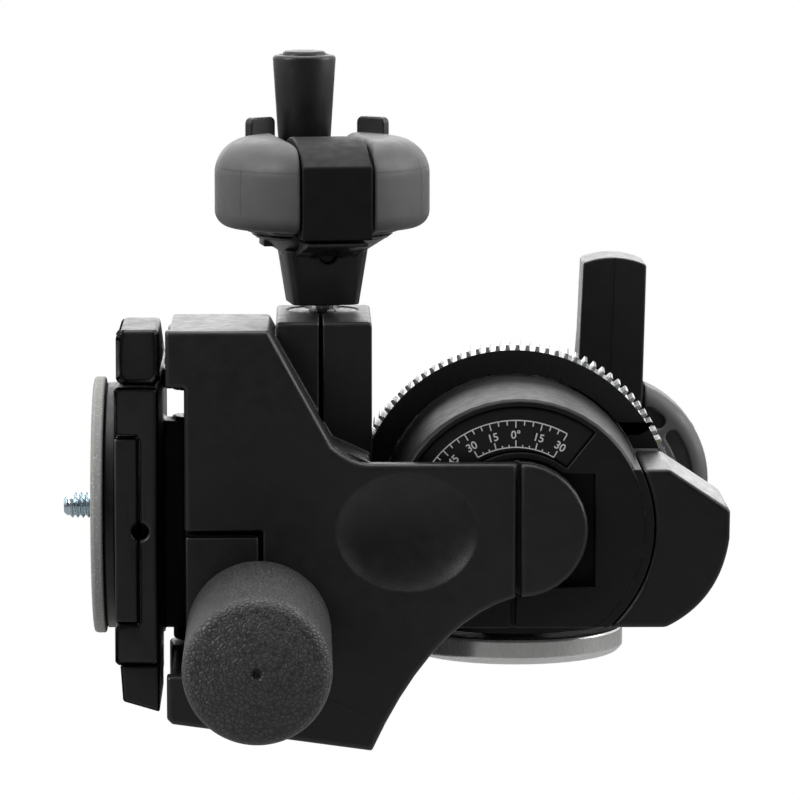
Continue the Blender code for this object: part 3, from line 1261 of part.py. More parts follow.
def build():
    clear_scene()
    base = empty("base_frame", (0, 0, 0))
    pan = empty("pan_frame", (0, 0, 0), base)
    tilt = empty("tilt_frame", (0, 0, TILT_Z), pan)
    front = empty("front_frame", (FRONT_X, FRONT_Y, 0), tilt)
    pan_face = Vector((PAN_WORM_X, BARREL_REAR_Y, PAN_WHEEL_Z))
    tilt_face = Vector((TILT_WORM_X, GEAR_MID_Y, BLOCK_TOP_Z))
    pan_knob = (Matrix.Translation(pan_face) @ Matrix.Rotation(PAN_KNOB_LEAN, 4, "Y").inverted()
                @ Matrix.Rotation(math.pi / 2, 4, "X") @ Matrix.Rotation(math.pi, 4, "Y"))
    tilt_knob = Matrix.Translation(tilt_face) @ Matrix.Rotation(TILT_KNOB_TURN, 4, "Z")
    pan_slide = pan_knob @ Matrix.Translation((0, CRANK_TRAVEL, 0))
    pan_control = empty("pan_control_frame", pan_face, pan)
    tilt_control = empty("tilt_control_frame", tilt_face, tilt)
    front_control = empty("front_control_frame", (FRONT_WORM_X, ARM_FRONT_Y, FRONT_WORM_Z), tilt)
    grip_place = Vector((GRIP_ASIDE, GRIP_AT, CRANK_TOP))
    pan_crank = empty("pan_crank_frame", pan_face, pan_control)
    tilt_crank = empty("tilt_crank_frame", tilt_face, tilt_control)
    pan_grip = empty("pan_grip_frame", pan_slide @ grip_place, pan_crank)
    tilt_grip = empty("tilt_grip_frame", tilt_knob @ grip_place, tilt_crank)

    finish(base_disc(), "base_disc", ALUMINIUM, base)
    finish(pan_column(), "pan_column", STEEL, base)
    finish(pan_worm_wheel(), "pan_worm_wheel", BRASS, base)
    finish(column_nut(), "column_nut", STEEL, base)

    finish(pan_housing(), "pan_housing", BLACK_CAST, pan)
    finish(pan_worm_cover(), "pan_worm_cover", BLACK_GLOSS, pan)
    finish(scale_plate(), "scale_plate", BLACK_GLOSS, pan)
    finish(tilt_worm_wheel(), "tilt_worm_wheel", ALUMINIUM, pan)
    finish(pan_worm(), "pan_worm", STEEL, pan_control)

    finish(main_casting(), "main_casting", BLACK_CAST, tilt)
    finish(arm_end_cap(), "arm_end_cap", BLACK_CAST, tilt)
    finish(tilt_spindle(), "tilt_spindle", STEEL, tilt)
    finish(tilt_worm_bush(), "tilt_worm_bush", BRASS, tilt)
    finish(front_cover_plate(), "front_cover_plate", BLACK_CAST, tilt)
    finish(front_pivot_pin(), "front_pivot_pin", STEEL, tilt)
    finish(tilt_worm(), "tilt_worm", STEEL, tilt_control)
    finish(front_worm(), "front_worm", STEEL, front_control)
    finish(front_knob_core(), "front_knob_core", BLACK_GLOSS, front_control)
    finish(front_knob_grip(), "front_knob_grip", RUBBER, front_control)

    winged_knob("tilt_knob", tilt_knob, tilt_control, tilt_crank, tilt_grip, tilt)
    winged_knob("pan_knob", pan_knob, pan_control, pan_crank, pan_grip, pan)
    for name in ("pan_knob_crank_arm", "pan_knob_crank_grip"):
        out = (pan_slide.to_3x3() @ Vector((0, CRANK_TRAVEL, 0)))
        bpy.data.objects[name].data.transform(Matrix.Translation(out))

    finish(adapter_body(), "adapter_body", BLACK_CAST, front)
    finish(front_worm_wheel(), "front_worm_wheel", BRASS, front)
    finish(fixed_jaw(), "fixed_jaw", BLACK_CAST, front)
    finish(lock_lever(), "lock_lever", BLACK_CAST,
           empty("lever_frame", (ADAPTER_BACK_X, LEVER_PIVOT_Y, LEVER_PIVOT_Z), front))
    finish(lever_screw(), "lever_screw", STEEL, front)
    quick = empty("plate_frame", (PLATE_BACK_X, 0, DISC_Z), front)
    finish(camera_plate(), "camera_plate", BLACK_CAST, quick)
    finish(camera_disc(), "camera_disc", GREY_MATT, quick)
    finish(camera_screw(), "camera_screw", ZINC, empty("screw_frame", (PLATE_BACK_X, 0, DISC_Z), quick))


build()
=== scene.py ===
import json
import math

import bmesh
import bpy
from mathutils import Matrix, Vector

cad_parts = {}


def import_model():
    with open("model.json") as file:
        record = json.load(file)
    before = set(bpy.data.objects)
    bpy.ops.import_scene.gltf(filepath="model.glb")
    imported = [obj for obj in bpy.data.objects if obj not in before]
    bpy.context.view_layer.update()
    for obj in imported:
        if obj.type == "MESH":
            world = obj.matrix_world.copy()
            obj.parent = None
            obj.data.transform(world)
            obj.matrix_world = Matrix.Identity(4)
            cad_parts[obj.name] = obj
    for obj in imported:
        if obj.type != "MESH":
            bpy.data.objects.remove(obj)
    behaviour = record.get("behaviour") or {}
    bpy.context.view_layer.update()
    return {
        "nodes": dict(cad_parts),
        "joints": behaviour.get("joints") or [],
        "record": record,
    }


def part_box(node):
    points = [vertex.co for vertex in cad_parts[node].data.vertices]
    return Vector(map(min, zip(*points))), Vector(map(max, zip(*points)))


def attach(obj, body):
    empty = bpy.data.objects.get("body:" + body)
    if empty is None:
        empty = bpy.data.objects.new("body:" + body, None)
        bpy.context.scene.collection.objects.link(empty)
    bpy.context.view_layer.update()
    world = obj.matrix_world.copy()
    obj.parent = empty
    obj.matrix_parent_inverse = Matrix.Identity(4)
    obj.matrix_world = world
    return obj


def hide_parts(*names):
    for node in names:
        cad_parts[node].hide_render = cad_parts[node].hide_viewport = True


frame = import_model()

# Camera, from the photograph's viewing angle
CAMERA_TARGET = Vector((-0.0267, 0, 0.0587))
CAMERA_DISTANCE = 1.287
CAMERA_AZIMUTH = math.radians(-1)
CAMERA_ELEVATION = math.radians(7)
CAMERA_LENS = 247.5
CAMERA_FAR = 100

# Stage: floor, room light and lamps, each lamp with its place, size and power
FLOOR_Z = -0.25
FLOOR_HALF = 14.0
FLOOR_GREY = (0.42, 0.42, 0.42)
FLOOR_ROUGHNESS = 0.9
FLOOR_GLOW = 1.02
FLOOR_GLOW_SHARE = 0.975
DARK_SIDE_SHARE = 0.03
BACK_SIDE_SHARE = 1.2
FILL_SHARE = 0.16
DARK_SIDE_END = -0.55
BACK_SIDE_END = 0.45
LAMP_TARGET = (-0.03, 0, 0.05)
LAMPS = {
    "top_light": ((-0.05, 0.15, 1.15), 1.1, 10),
    "left_light": ((-1.05, -0.42, 0.72), 0.6, 9),
    "right_light": ((1.15, -0.05, 0.60), 0.8, 10),
    "front_light": ((-0.3, -1.3, 1.1), 0.9, 0.5),
    "back_light": ((-0.1, 1.7, 0.55), 1.4, 10),
}

# Shared finishing values
EDGE_WIDTH = 0.00045
EDGE_ANGLE = math.radians(28)
SMOOTH_ANGLE = math.radians(34)
WELD = 0.00001
FLAT_ANGLE = math.radians(0.8)
LIFT = 0.00003
FINE_STEPS = 96
SLEEVE_STEPS = 128
ROUND_STEPS = 12
CORNER_STEPS = 8
LONG_STEPS = 24
LIP_STEPS = 6

# Finishes: linear colours, sizes in metres, and each sheen as its size with its least and most roughness
CAST_COLOUR = (0.010, 0.010, 0.011)
# Castings' edges painted lighter in patches: part wear, part painted highlight
CASTING_WEAR_AND_HIGHLIGHT_COLOUR = (0.085, 0.085, 0.088)
CASTING_WEAR_AND_HIGHLIGHT_SHARE = 0.5
CAST_EDGE = 0.0004
CASTING_WEAR_AND_HIGHLIGHT_PATCH = 0.0016
CAST_CLOUD = 0.006
CAST_SHEEN = (0.003, 0.36, 0.48)
CAST_GRAIN = 0.00042
CAST_GRAIN_HEIGHT = 0.000045
MOULDED_COLOUR = (0.009, 0.009, 0.010)
MOULDED_SHEEN = (0.0022, 0.28, 0.40)
MOULDED_EDGE = 0.0011
MOULDED_HAZE = 0.004
MOULDED_GRAIN = 0.0005
MOULDED_GRAIN_HEIGHT = 0.000006
KNOB_COLOUR = (0.016, 0.016, 0.017)
KNOB_SHEEN = (0.0022, 0.32, 0.44)
KNOB_EDGE = 0.0006
# The knob plastic drawn darker for the tilt knob's crank: painted shade
CRANK_SHADED_COLOUR = (0.010, 0.010, 0.011)
CRANK_SHEEN = (0.0022, 0.46, 0.60)
RUBBER_COLOUR = (0.098, 0.098, 0.102)
RUBBER_EDGE = 0.0010
RUBBER_CLOUD = 0.005
RUBBER_SHEEN = (0.003, 0.44, 0.56)
RUBBER_GRAIN = 0.00022
RUBBER_GRAIN_HEIGHT = 0.000008
LEATHER_COLOUR = (0.050, 0.050, 0.052)
LEATHER_WARP = 0.0012
LEATHER_SHIFT = 0.0008
LEATHER_CELL = 0.00105
# Width of the valleys, for their bump and for the painted shade in them
LEATHER_VALLEY_SHARE = 0.22
LEATHER_DEPTH = 0.00014
LEATHER_SHEEN = (0.003, 0.40, 0.54)
LEATHER_GRAIN = 0.0004
LEATHER_GRAIN_HEIGHT = 0.00002
SILVER_COLOUR = (0.80, 0.80, 0.79)
SILVER_ROUGHNESS = 0.30
SILVER_EDGE = 0.0003
SILVER_CLOUD = 0.004
SILVER_RING = 0.00035
SILVER_RING_HEIGHT = 0.000003
METAL_EDGE = 0.00025
METAL_CLOUD = 0.002
METAL_GRAIN = 0.0008
METAL_GRAIN_HEIGHT = 0.000006
ZINC_GRAIN = 0.0005
METALS = {
    "steel": ((0.55, 0.56, 0.58), 0.32),
    # Dark steel of the set screws, and of the worm bush as painted shade under the knob's neck
    "dark_steel": ((0.045, 0.045, 0.048), 0.35),
    "brass": ((0.70, 0.52, 0.24), 0.32),
    "zinc": ((0.60, 0.72, 0.78), 0.25),
    "washer_metal": ((0.78, 0.78, 0.77), 0.22),
}
GEAR_COLOUR = (0.72, 0.73, 0.74)
GEAR_DARK_COLOUR = (0.014, 0.014, 0.015)
GEAR_METAL_SHARE = 0.6
GEAR_DARK_BELOW = 0.00135
GEAR_BRIGHT_ABOVE = 0.00115
GEAR_CLOUD = 0.0012
GEAR_SHEEN = (0.0007, 0.24, 0.42)
GEAR_GRAIN = 0.0004
GEAR_GRAIN_HEIGHT = 0.00001
GREASE_COLOUR = (0.55, 0.45, 0.12)
GREASE_PATCH = 0.0030
GREASE_TOP = 0.0002
GREASE_FULL = 0.0012
PAD_COLOUR = (0.42, 0.42, 0.405)
PAD_SPECK = 0.00055
PAD_LIGHT_SPECK = 0.0005
PAD_CLOUD = 0.0022
PAD_SHEEN = (0.001, 0.8, 0.95)
PAD_GRAIN = 0.0003
PAD_GRAIN_HEIGHT = 0.00004
PRINT_COLOUR = (0.84, 0.84, 0.82)
PRINT_CLOUD = 0.0004
PRINT_SHEEN = (0.001, 0.5, 0.65)
PRINT_GRAIN = 0.0001
PRINT_GRAIN_HEIGHT = 0.000003

# Winged knob: heights above the face that it stands on, each slot's middle and spread in degrees,
# each finger tab's angle by side, and the skirt as radii with heights
LOBE_R = 0.0252
LOBE_LOW = 0.0182
LOBE_FLAT_R = 0.0158
LOBE_RISE = 0.0014
LOBE_HIGH = 0.0405
LOBE_INNER_X = 0.0088
LOBE_END_ROUND = 0.0022
LOBE_LOW_ROUND = 0.0039
LOBE_HIGH_ROUND = 0.0084
LOBE_PARTING = 0.0337
LOBE_PARTING_DEPTH = 0.00012
SLOT_R = 0.01955
SLOT_HALF = 0.00175
SLOT_TOP = 0.0224
SLOTS = ((0, 72), (56, 10), (-56, 10))
SEAM_ANGLE = math.radians(32.5)
SEAM_HALF = 0.00032
SEAM_HEIGHT = 0.00014
TAB_WIDTH = 0.0078
TAB_FAR_R = 0.0220
TAB_T = 0.0023
TAB_LOW = 0.0364
TAB_TOP = 0.0441
TAB_ROUND = 0.0015
TAB_ANGLES = {-1: math.radians(126), 1: math.radians(46)}
GRIP_AT = 0.0220
GRIP_ASIDE = -0.0009
GRIP_LOW = 0.0355
GRIP_HIGH = 0.0594
GRIP_LOW_R = 0.0061
GRIP_TOP_R = 0.0075
GRIP_BORE_R = 0.0033
GRIP_BORE_TOP = 0.0515
GRIP_LIP = 0.0009
GRIP_DISH = 0.0006
GRIP_GROOVE_SHARES = ((1.6, 1), (1.9, 1.6), (2.3, 1.5), (2.6, 0.5), (3.2, 0))
CRANK_TRAVEL = 0.0230
HUB_HIGH = 0.0179
SKIRT = ((0.0094, 0.0134), (0.0166, 0.01795), (0.0150, 0.01795), (0.0088, 0.0140))
BAR_LOW = 0.0182
BAR_HIGH = 0.0352
BAR_NEAR_Y = -0.0240
BAR_FAR_Y = 0.0322
BAR_NEAR_HALF = 0.0082
BAR_FAR_HALF = 0.0077
BAR_DOME = 0.0016
HUMP_END_Y = 0.0130
HUMP_HEIGHT = 0.0057
BAR_EDGE_ANGLE = math.radians(40)
BAR_LINE = 0.00015
POST_R = 0.0030
POST_HIGH = 0.0512

# Cover at the right and the last teeth above it
COVER_FRONT_Y = -0.0346
COVER_SHOULDER_Y = -0.0020
COVER_REAR_Y = 0.0240
COVER_DRAFT = 0.0044
COVER_GAP_R = 0.0312
COVER_LOW_Z = 0.0103
COVER_HIGH_Z = 0.0468
COVER_HIGH_X = 0.0342
COVER_TIP = ((0.0482, 0.0375), (0.0481, 0.0308))
COVER_CURVE_X = 0.0461
COVER_CURVE_Z = 0.0163
COVER_FOOT_X = 0.0336
BARREL_BORE_R = 0.0115
BARREL_BORE_Y = -0.0193
CAN_BORE_R = 0.0248
CAN_BORE_Z = 0.0415
COVER_STEPS = 20
COVER_GAP_STEPS = 40
COVER_EDGE = 0.00072
COVER_EDGE_ANGLE = math.radians(24)
GEAR_TEETH = 100
GEAR_TAIL_TEETH = 4
GEAR_TAIL_LOW = 0.0469
GEAR_TAIL_OVERLAP = 0.0030

# Jaw and adapter
ADAPTER_EDGE = 0.0007
JAW_EDGE = 0.0011
JAW_TOP_CUT = 0.0013
JAW_FLAT = 0.0280
JAW_SLOPE = math.radians(17)
JAW_EDGE_ANGLE = math.radians(15)

# Front knob
ROLL_DOME = 0.0018
ROLL_CORNER = 0.0034
ROLL_WALL = 0.0030
ROLL_DIMPLE = 0.0012
ROLL_LIP = 0.0010
ROLL_CORNER_SWEEP = math.radians(78)
ROLL_CORNER_STEPS = 10

# Camera screw, with the thread sizes of a quarter inch screw
SCREW_HEAD_T = 0.0030
SCREW_HEAD_EDGE = 0.0004
SCREW_CREST_R = 0.00310
SCREW_ROOT_R = 0.00248
SCREW_PITCH = 0.00127
SCREW_TIP = 0.0007
SCREW_SHARES = (0.0, 0.10, 0.45, 0.55, 0.90)
SCREW_SMOOTH_ANGLE = math.radians(25)

# Scale
DIAL_PIECE = "scale_plate"
DIAL_SHIFT_X = -0.00085
DIAL_SHIFT_Z = 0.0011
DIAL_ARC_OUT_R = 0.0235
DIAL_ARC_IN_R = 0.0173
DIAL_TEXT_R = 0.0201
DIAL_LINE = 0.00027
DIAL_BOLD = 0.00004
DIAL_TEXT_HIGH = 0.00185
DIAL_MINOR = 0.0011
DIAL_MAJOR = 0.0017
DIAL_INNER_MINOR = 0.0006
DIAL_INNER_MAJOR = 0.0016
DIAL_RIGHT = 30
DIAL_LEFT = 90
DIAL_INNER_LEFT = 30
DIAL_STEP = 5
DIAL_LABEL_STEP = 15
DIAL_ARC_STEPS = 120
DIAL_OVERLAP_SHARE = 0.9
DIAL_CAPITAL_SHARE = 0.72


# Meshes


def piece_of(name, bm, body, material, smooth=SMOOTH_ANGLE):
    bmesh.ops.recalc_face_normals(bm, faces=bm.faces)
    mesh = bpy.data.meshes.new(name)
    bm.to_mesh(mesh)
    bm.free()
    obj = bpy.data.objects.new(name, mesh)
    bpy.context.scene.collection.objects.link(obj)
    mesh.materials.append(material)
    if smooth:
        mesh.shade_smooth()
        mesh.set_sharp_from_angle(angle=smooth)
    if body:
        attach(obj, body)
    return obj


def body_of(node):
    for body, members in frame["record"]["behaviour"]["bodies"].items():
        if node in members:
            return body
    raise KeyError(node)


def bevelled(obj, width=EDGE_WIDTH, segments=3, angle=EDGE_ANGLE):
    modifier = obj.modifiers.new("Edges", "BEVEL")
    modifier.width = width
    modifier.segments = segments
    modifier.limit_method = "ANGLE"
    modifier.angle_limit = angle
    modifier.use_clamp_overlap = False
    modifier.miter_outer = "MITER_ARC"
    modifier.harden_normals = False


def clean_copy(node):
    """A CAD node's mesh with its flat faces whole."""
    bm = bmesh.new()
    bm.from_mesh(frame["nodes"][node].data)
    bmesh.ops.remove_doubles(bm, verts=bm.verts, dist=WELD)
    bmesh.ops.dissolve_limit(bm, angle_limit=FLAT_ANGLE, verts=bm.verts, edges=bm.edges)
    return bm


def dressed(node, material, width=EDGE_WIDTH):
    """A copy of a CAD node with its edges rounded."""
    obj = piece_of(node + "_form", clean_copy(node), body_of(node), material)
    bevelled(obj, width)
    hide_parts(node)


def recoloured(node, material):
    """A CAD node kept as it is, with a better material."""
    obj = frame["nodes"][node]
    obj.data.materials.clear()
    obj.data.materials.append(material)


def arc(centre, radius, start, sweep, steps):
    return [
        (centre[0] + radius * math.cos(start + sweep * i / steps),
         centre[1] + radius * math.sin(start + sweep * i / steps))
        for i in range(steps + 1)
    ]


def lathe(profile, steps=FINE_STEPS):
    """A solid of revolution about +Z, closed where the radius is zero or back to its start."""
    bm = bmesh.new()
    rows = []
    for radius, height in profile:
        if radius:
            rows.append([bm.verts.new((radius * math.cos(2 * math.pi * i / steps),
                                       radius * math.sin(2 * math.pi * i / steps), height))
                         for i in range(steps)])
        else:
            rows.append([bm.verts.new((0, 0, height))])
    pairs = list(zip(rows, rows[1:]))
    if profile[0][0] and profile[-1][0]:
        pairs.append((rows[-1], rows[0]))
    for low, high in pairs:
        for i in range(steps):
            j = (i + 1) % steps
            if len(low) == 1:
                bm.faces.new((low[0], high[j], high[i]))
            elif len(high) == 1:
                bm.faces.new((low[i], low[j], high[0]))
            else:
                bm.faces.new((low[i], low[j], high[j], high[i]))
    return bm


def joint(name):
    for entry in frame["joints"]:
        if entry["name"] == name:
            return entry
    raise KeyError(name)


def knob_place(turn, slide):
    """The winged knob's own frame: z out of its face, y along its crank."""
    up = Vector(joint(turn)["axis"]).normalized()
    along = Vector(joint(slide)["axis"]).normalized()
    across = along.cross(up)
    turned = Matrix((across, along, up)).transposed().to_4x4()
    return Matrix.Translation(Vector(joint(turn)["pos_m"])) @ turned


# Materials


def shade(colour, factor):
    return tuple(channel * factor for channel in colour)


class Surface:
    """Builds one material: a shader, its texture coordinates and small helpers for its nodes."""

    def __init__(self, name, colour, roughness, metallic=0.0, specular=0.5):
        self.material = bpy.data.materials.new(name)
        self.material.use_nodes = True
        self.tree = self.material.node_tree
        self.shader = self.tree.nodes["Principled BSDF"]
        self.shader.inputs["Base Color"].default_value = (*colour, 1)
        self.shader.inputs["Roughness"].default_value = roughness
        self.shader.inputs["Metallic"].default_value = metallic
        self.shader.inputs["Specular IOR Level"].default_value = specular
        self.colour = colour
        self.coordinates = self.add("ShaderNodeTexCoord")
        self.normal = None

    def add(self, kind, **values):
        node = self.tree.nodes.new(kind)
        for key, value in values.items():
            if hasattr(node, key):
                setattr(node, key, value)
            else:
                node.inputs[key.replace("_", " ").title()].default_value = value
        return node

    def link(self, start, end):
        self.tree.links.new(start, end)

    def place(self):
        return self.coordinates.outputs["Object"]

    def noise(self, size, detail=2.0, rough=0.5):
        node = self.add("ShaderNodeTexNoise", Scale=1 / size, Detail=detail, Roughness=rough)
        self.link(self.place(), node.inputs["Vector"])
        return node.outputs["Fac"]

    def cells(self, size):
        node = self.add("ShaderNodeTexVoronoi", Scale=1 / size)
        self.link(self.place(), node.inputs["Vector"])
        return node.outputs["Distance"]

    def ranged(self, value, low, high, to_low=0.0, to_high=1.0):
        node = self.add("ShaderNodeMapRange")
        self.link(value, node.inputs["Value"])
        for key, number in (("From Min", low), ("From Max", high), ("To Min", to_low), ("To Max", to_high)):
            node.inputs[key].default_value = number
        return node.outputs["Result"]

    def math(self, operation, first, second=None):
        node = self.add("ShaderNodeMath", operation=operation)
        for socket, value in zip(node.inputs, (first, second)):
            if value is None:
                continue
            if isinstance(value, (int, float)):
                socket.default_value = value
            else:
                self.link(value, socket)
        return node.outputs[0]

    def mixed(self, share, first, second):
        """A colour between two, each a socket or three numbers."""
        node = self.add("ShaderNodeMix", data_type="RGBA")
        for socket, value in ((node.inputs[0], share), (node.inputs[6], first), (node.inputs[7], second)):
            if isinstance(value, tuple):
                socket.default_value = (*value, 1)
            elif isinstance(value, (int, float)):
                socket.default_value = value
            else:
                self.link(value, socket)
        return node.outputs[2]

    def clouded(self, size, dark, light=1.0, detail=4.0):
        """The material's own colour, drifting between a darker and a lighter shade."""
        return self.mixed(self.noise(size, detail), shade(self.colour, dark), shade(self.colour, light))

    def bump(self, height, distance, strength=1.0):
        node = self.add("ShaderNodeBump", Strength=strength, Distance=distance)
        self.link(height, node.inputs["Height"])
        if self.normal is not None:
            self.link(self.normal, node.inputs["Normal"])
        self.normal = node.outputs["Normal"]
        self.link(self.normal, self.shader.inputs["Normal"])

    def soft_edges(self, radius):
        """Rounds the light on every edge and gives back how strong the edge is."""
        node = self.add("ShaderNodeBevel")
        node.samples = 6
        node.inputs["Radius"].default_value = radius
        self.normal = node.outputs["Normal"]
        self.link(self.normal, self.shader.inputs["Normal"])
        flat = self.add("ShaderNodeNewGeometry")
        dot = self.add("ShaderNodeVectorMath", operation="DOT_PRODUCT")
        self.link(node.outputs["Normal"], dot.inputs[0])
        self.link(flat.outputs["Normal"], dot.inputs[1])
        return self.ranged(dot.outputs["Value"], low=1.0, high=0.86)

    def rough(self, size, low, high):
        share = self.ranged(self.noise(size, detail=3.0), low=0.3, high=0.7, to_low=low, to_high=high)
        self.link(share, self.shader.inputs["Roughness"])

    def paint(self, colour):
        self.link(colour, self.shader.inputs["Base Color"])


def cast_black(name="cast_black", specular=0.5):
    """Powder-coated die casting: a fine pebbled grain, and edges painted lighter, part wear and part painted
    highlight.
    """
    made = Surface(name, CAST_COLOUR, roughness=0.45, specular=specular)
    edge = made.soft_edges(CAST_EDGE)
    # Edges painted lighter in patches: part wear, part painted highlight
    wear_and_highlight = made.math("MULTIPLY", edge, made.ranged(made.noise(CASTING_WEAR_AND_HIGHLIGHT_PATCH, detail=4.0), low=0.42, high=0.62))
    cloud = made.clouded(CAST_CLOUD, dark=0.82, light=1.25)
    made.paint(made.mixed(made.math("MULTIPLY", wear_and_highlight, CASTING_WEAR_AND_HIGHLIGHT_SHARE), cloud, CASTING_WEAR_AND_HIGHLIGHT_COLOUR))
    made.rough(*CAST_SHEEN)
    made.bump(made.noise(CAST_GRAIN, detail=3.0, rough=0.6), CAST_GRAIN_HEIGHT)
    return made.material


def smooth_black(name, colour, sheen, edge, specular=0.45):
    """Moulded plastic, smoother than the castings, with faint haze."""
    made = Surface(name, colour, roughness=0.3, specular=specular)
    made.soft_edges(edge)
    made.paint(made.clouded(MOULDED_HAZE, dark=0.8, light=1.35, detail=5.0))
    made.rough(*sheen)
    made.bump(made.noise(MOULDED_GRAIN), MOULDED_GRAIN_HEIGHT)
    return made.material


def satin_rubber():
    """Soft moulded rubber of the knobs' wings."""
    made = Surface("satin_rubber", RUBBER_COLOUR, roughness=0.45)
    made.soft_edges(RUBBER_EDGE)
    made.paint(made.clouded(RUBBER_CLOUD, dark=0.85, light=1.2))
    made.rough(*RUBBER_SHEEN)
    made.bump(made.noise(RUBBER_GRAIN), RUBBER_GRAIN_HEIGHT)
    return made.material


def leather_rubber():
    """Grained rubber sleeve: irregular cells with soft valleys, painted shade in the valleys and painted
    light on the cells.
    """
    made = Surface("leather_rubber", LEATHER_COLOUR, roughness=0.5, specular=0.45)
    warp = made.noise(LEATHER_WARP, detail=3.0)
    cell = made.add("ShaderNodeTexVoronoi", Scale=1 / LEATHER_CELL)
    cell.feature = "DISTANCE_TO_EDGE"
    shift = made.add("ShaderNodeVectorMath", operation="MULTIPLY_ADD")
    spread = made.add("ShaderNodeCombineXYZ")
    for socket in spread.inputs:
        made.link(warp, socket)
    made.link(spread.outputs[0], shift.inputs[0])
    shift.inputs[1].default_value = (LEATHER_SHIFT, LEATHER_SHIFT, LEATHER_SHIFT)
    made.link(made.place(), shift.inputs[2])
    made.link(shift.outputs[0], cell.inputs["Vector"])
    # Painted shade: the valleys painted darker than the rubber, and painted light: the cells between them
    # lighter
    valley = made.ranged(cell.outputs["Distance"], low=0.0, high=LEATHER_VALLEY_SHARE)
    made.paint(made.mixed(valley, shade(LEATHER_COLOUR, 0.40), shade(LEATHER_COLOUR, 1.25)))
    made.rough(*LEATHER_SHEEN)
    made.bump(valley, LEATHER_DEPTH, strength=0.9)
    made.bump(made.noise(LEATHER_GRAIN, detail=3.0), LEATHER_GRAIN_HEIGHT)
    return made.material


def turned_silver():
    """Lathe-turned metal: fine rings about the pan axis and slight tarnish."""
    made = Surface("turned_silver", SILVER_COLOUR, SILVER_ROUGHNESS, metallic=0.8)
    made.soft_edges(SILVER_EDGE)
    flat = made.add("ShaderNodeVectorMath", operation="MULTIPLY")
    made.link(made.place(), flat.inputs[0])
    flat.inputs[1].default_value = (1, 1, 0)
    radius = made.add("ShaderNodeVectorMath", operation="LENGTH")
    made.link(flat.outputs[0], radius.inputs[0])
    radius = radius.outputs["Value"]
    wave = made.math("SINE", made.math("MULTIPLY", radius, 2 * math.pi / SILVER_RING))
    streak = made.add("ShaderNodeTexNoise", Scale=1 / (SILVER_RING * 2), Detail=3.0)
    spread = made.add("ShaderNodeCombineXYZ")
    made.link(radius, spread.inputs[0])
    made.link(spread.outputs[0], streak.inputs["Vector"])
    made.paint(made.clouded(SILVER_CLOUD, dark=0.86))
    made.link(made.ranged(streak.outputs["Fac"], low=0.3, high=0.7,
                          to_low=SILVER_ROUGHNESS * 0.7, to_high=SILVER_ROUGHNESS * 1.3),
              made.shader.inputs["Roughness"])
    made.bump(wave, SILVER_RING_HEIGHT)
    return made.material


def plain_metal(name, grain=METAL_GRAIN):
    """Machined or plated metal with a fine uneven sheen."""
    colour, roughness = METALS[name]
    made = Surface(name, colour, roughness, metallic=1.0)
    made.soft_edges(METAL_EDGE)
    made.paint(made.clouded(METAL_CLOUD, dark=0.75))
    made.rough(grain, roughness * 0.75, roughness * 1.35)
    made.bump(made.noise(grain, detail=3.0), METAL_GRAIN_HEIGHT)
    return made.material


def gear_metal():
    """Bright teeth, blackened side faces and a little yellow grease between the teeth."""
    axis = joint("side_tilt")["pos_m"]
    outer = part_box("tilt_worm_wheel")[1].z - axis[2]
    made = Surface("gear_metal", GEAR_COLOUR, roughness=0.3, metallic=1.0)
    made.soft_edges(METAL_EDGE)
    offset = made.add("ShaderNodeVectorMath", operation="SUBTRACT")
    made.link(made.place(), offset.inputs[0])
    offset.inputs[1].default_value = (0, 0, axis[2])
    apart = made.add("ShaderNodeSeparateXYZ")
    made.link(offset.outputs[0], apart.inputs[0])
    radius = made.math("SQRT", made.math("ADD", made.math("POWER", apart.outputs["X"], 2.0),
                                         made.math("POWER", apart.outputs["Z"], 2.0)))
    inside = made.ranged(radius, outer - GEAR_DARK_BELOW, outer - GEAR_BRIGHT_ABOVE, 1.0, 0.0)
    facing = made.add("ShaderNodeSeparateXYZ")
    made.link(made.coordinates.outputs["Normal"], facing.inputs[0])
    side = made.math("GREATER_THAN", made.math("ABSOLUTE", facing.outputs["Y"]), 0.7)
    dark = made.math("MULTIPLY", inside, side)
    grease = made.math("MULTIPLY", made.ranged(made.noise(GREASE_PATCH, detail=3.0), low=0.60, high=0.68),
                       made.ranged(radius, outer - GREASE_TOP, outer - GREASE_FULL))
    greased = made.mixed(grease, made.clouded(GEAR_CLOUD, dark=0.62), GREASE_COLOUR)
    made.paint(made.mixed(dark, greased, GEAR_DARK_COLOUR))
    covered = made.math("MULTIPLY", GEAR_METAL_SHARE, made.math("MAXIMUM", dark, grease))
    made.link(made.math("SUBTRACT", GEAR_METAL_SHARE, covered), made.shader.inputs["Metallic"])
    made.rough(*GEAR_SHEEN)
    made.bump(made.noise(GEAR_GRAIN, detail=3.0), GEAR_GRAIN_HEIGHT)
    return made.material


def speckled_pad():
    """Grey cork-like pad of the camera disc."""
    made = Surface("speckled_pad", PAD_COLOUR, roughness=0.85, specular=0.25)
    speck = made.math("MULTIPLY", made.ranged(made.cells(PAD_SPECK), low=0.28, high=0.16), 0.45)
    light = made.math("MULTIPLY", made.ranged(made.noise(PAD_LIGHT_SPECK), low=0.60, high=0.66), 0.6)
    speckled = made.mixed(speck, made.clouded(PAD_CLOUD, dark=0.88, light=1.12), shade(PAD_COLOUR, 0.45))
    made.paint(made.mixed(light, speckled, shade(PAD_COLOUR, 1.9)))
    made.rough(*PAD_SHEEN)
    made.bump(made.noise(PAD_GRAIN, detail=3.0), PAD_GRAIN_HEIGHT)
    return made.material


def dial_print():
    """Off-white printing of the scale."""
    made = Surface("dial_print", PRINT_COLOUR, roughness=0.55, specular=0.3)
    made.paint(made.clouded(PRINT_CLOUD, dark=0.82, detail=3.0))
    made.rough(*PRINT_SHEEN)
    made.bump(made.noise(PRINT_GRAIN), PRINT_GRAIN_HEIGHT)
    return made.material


# Knob pieces


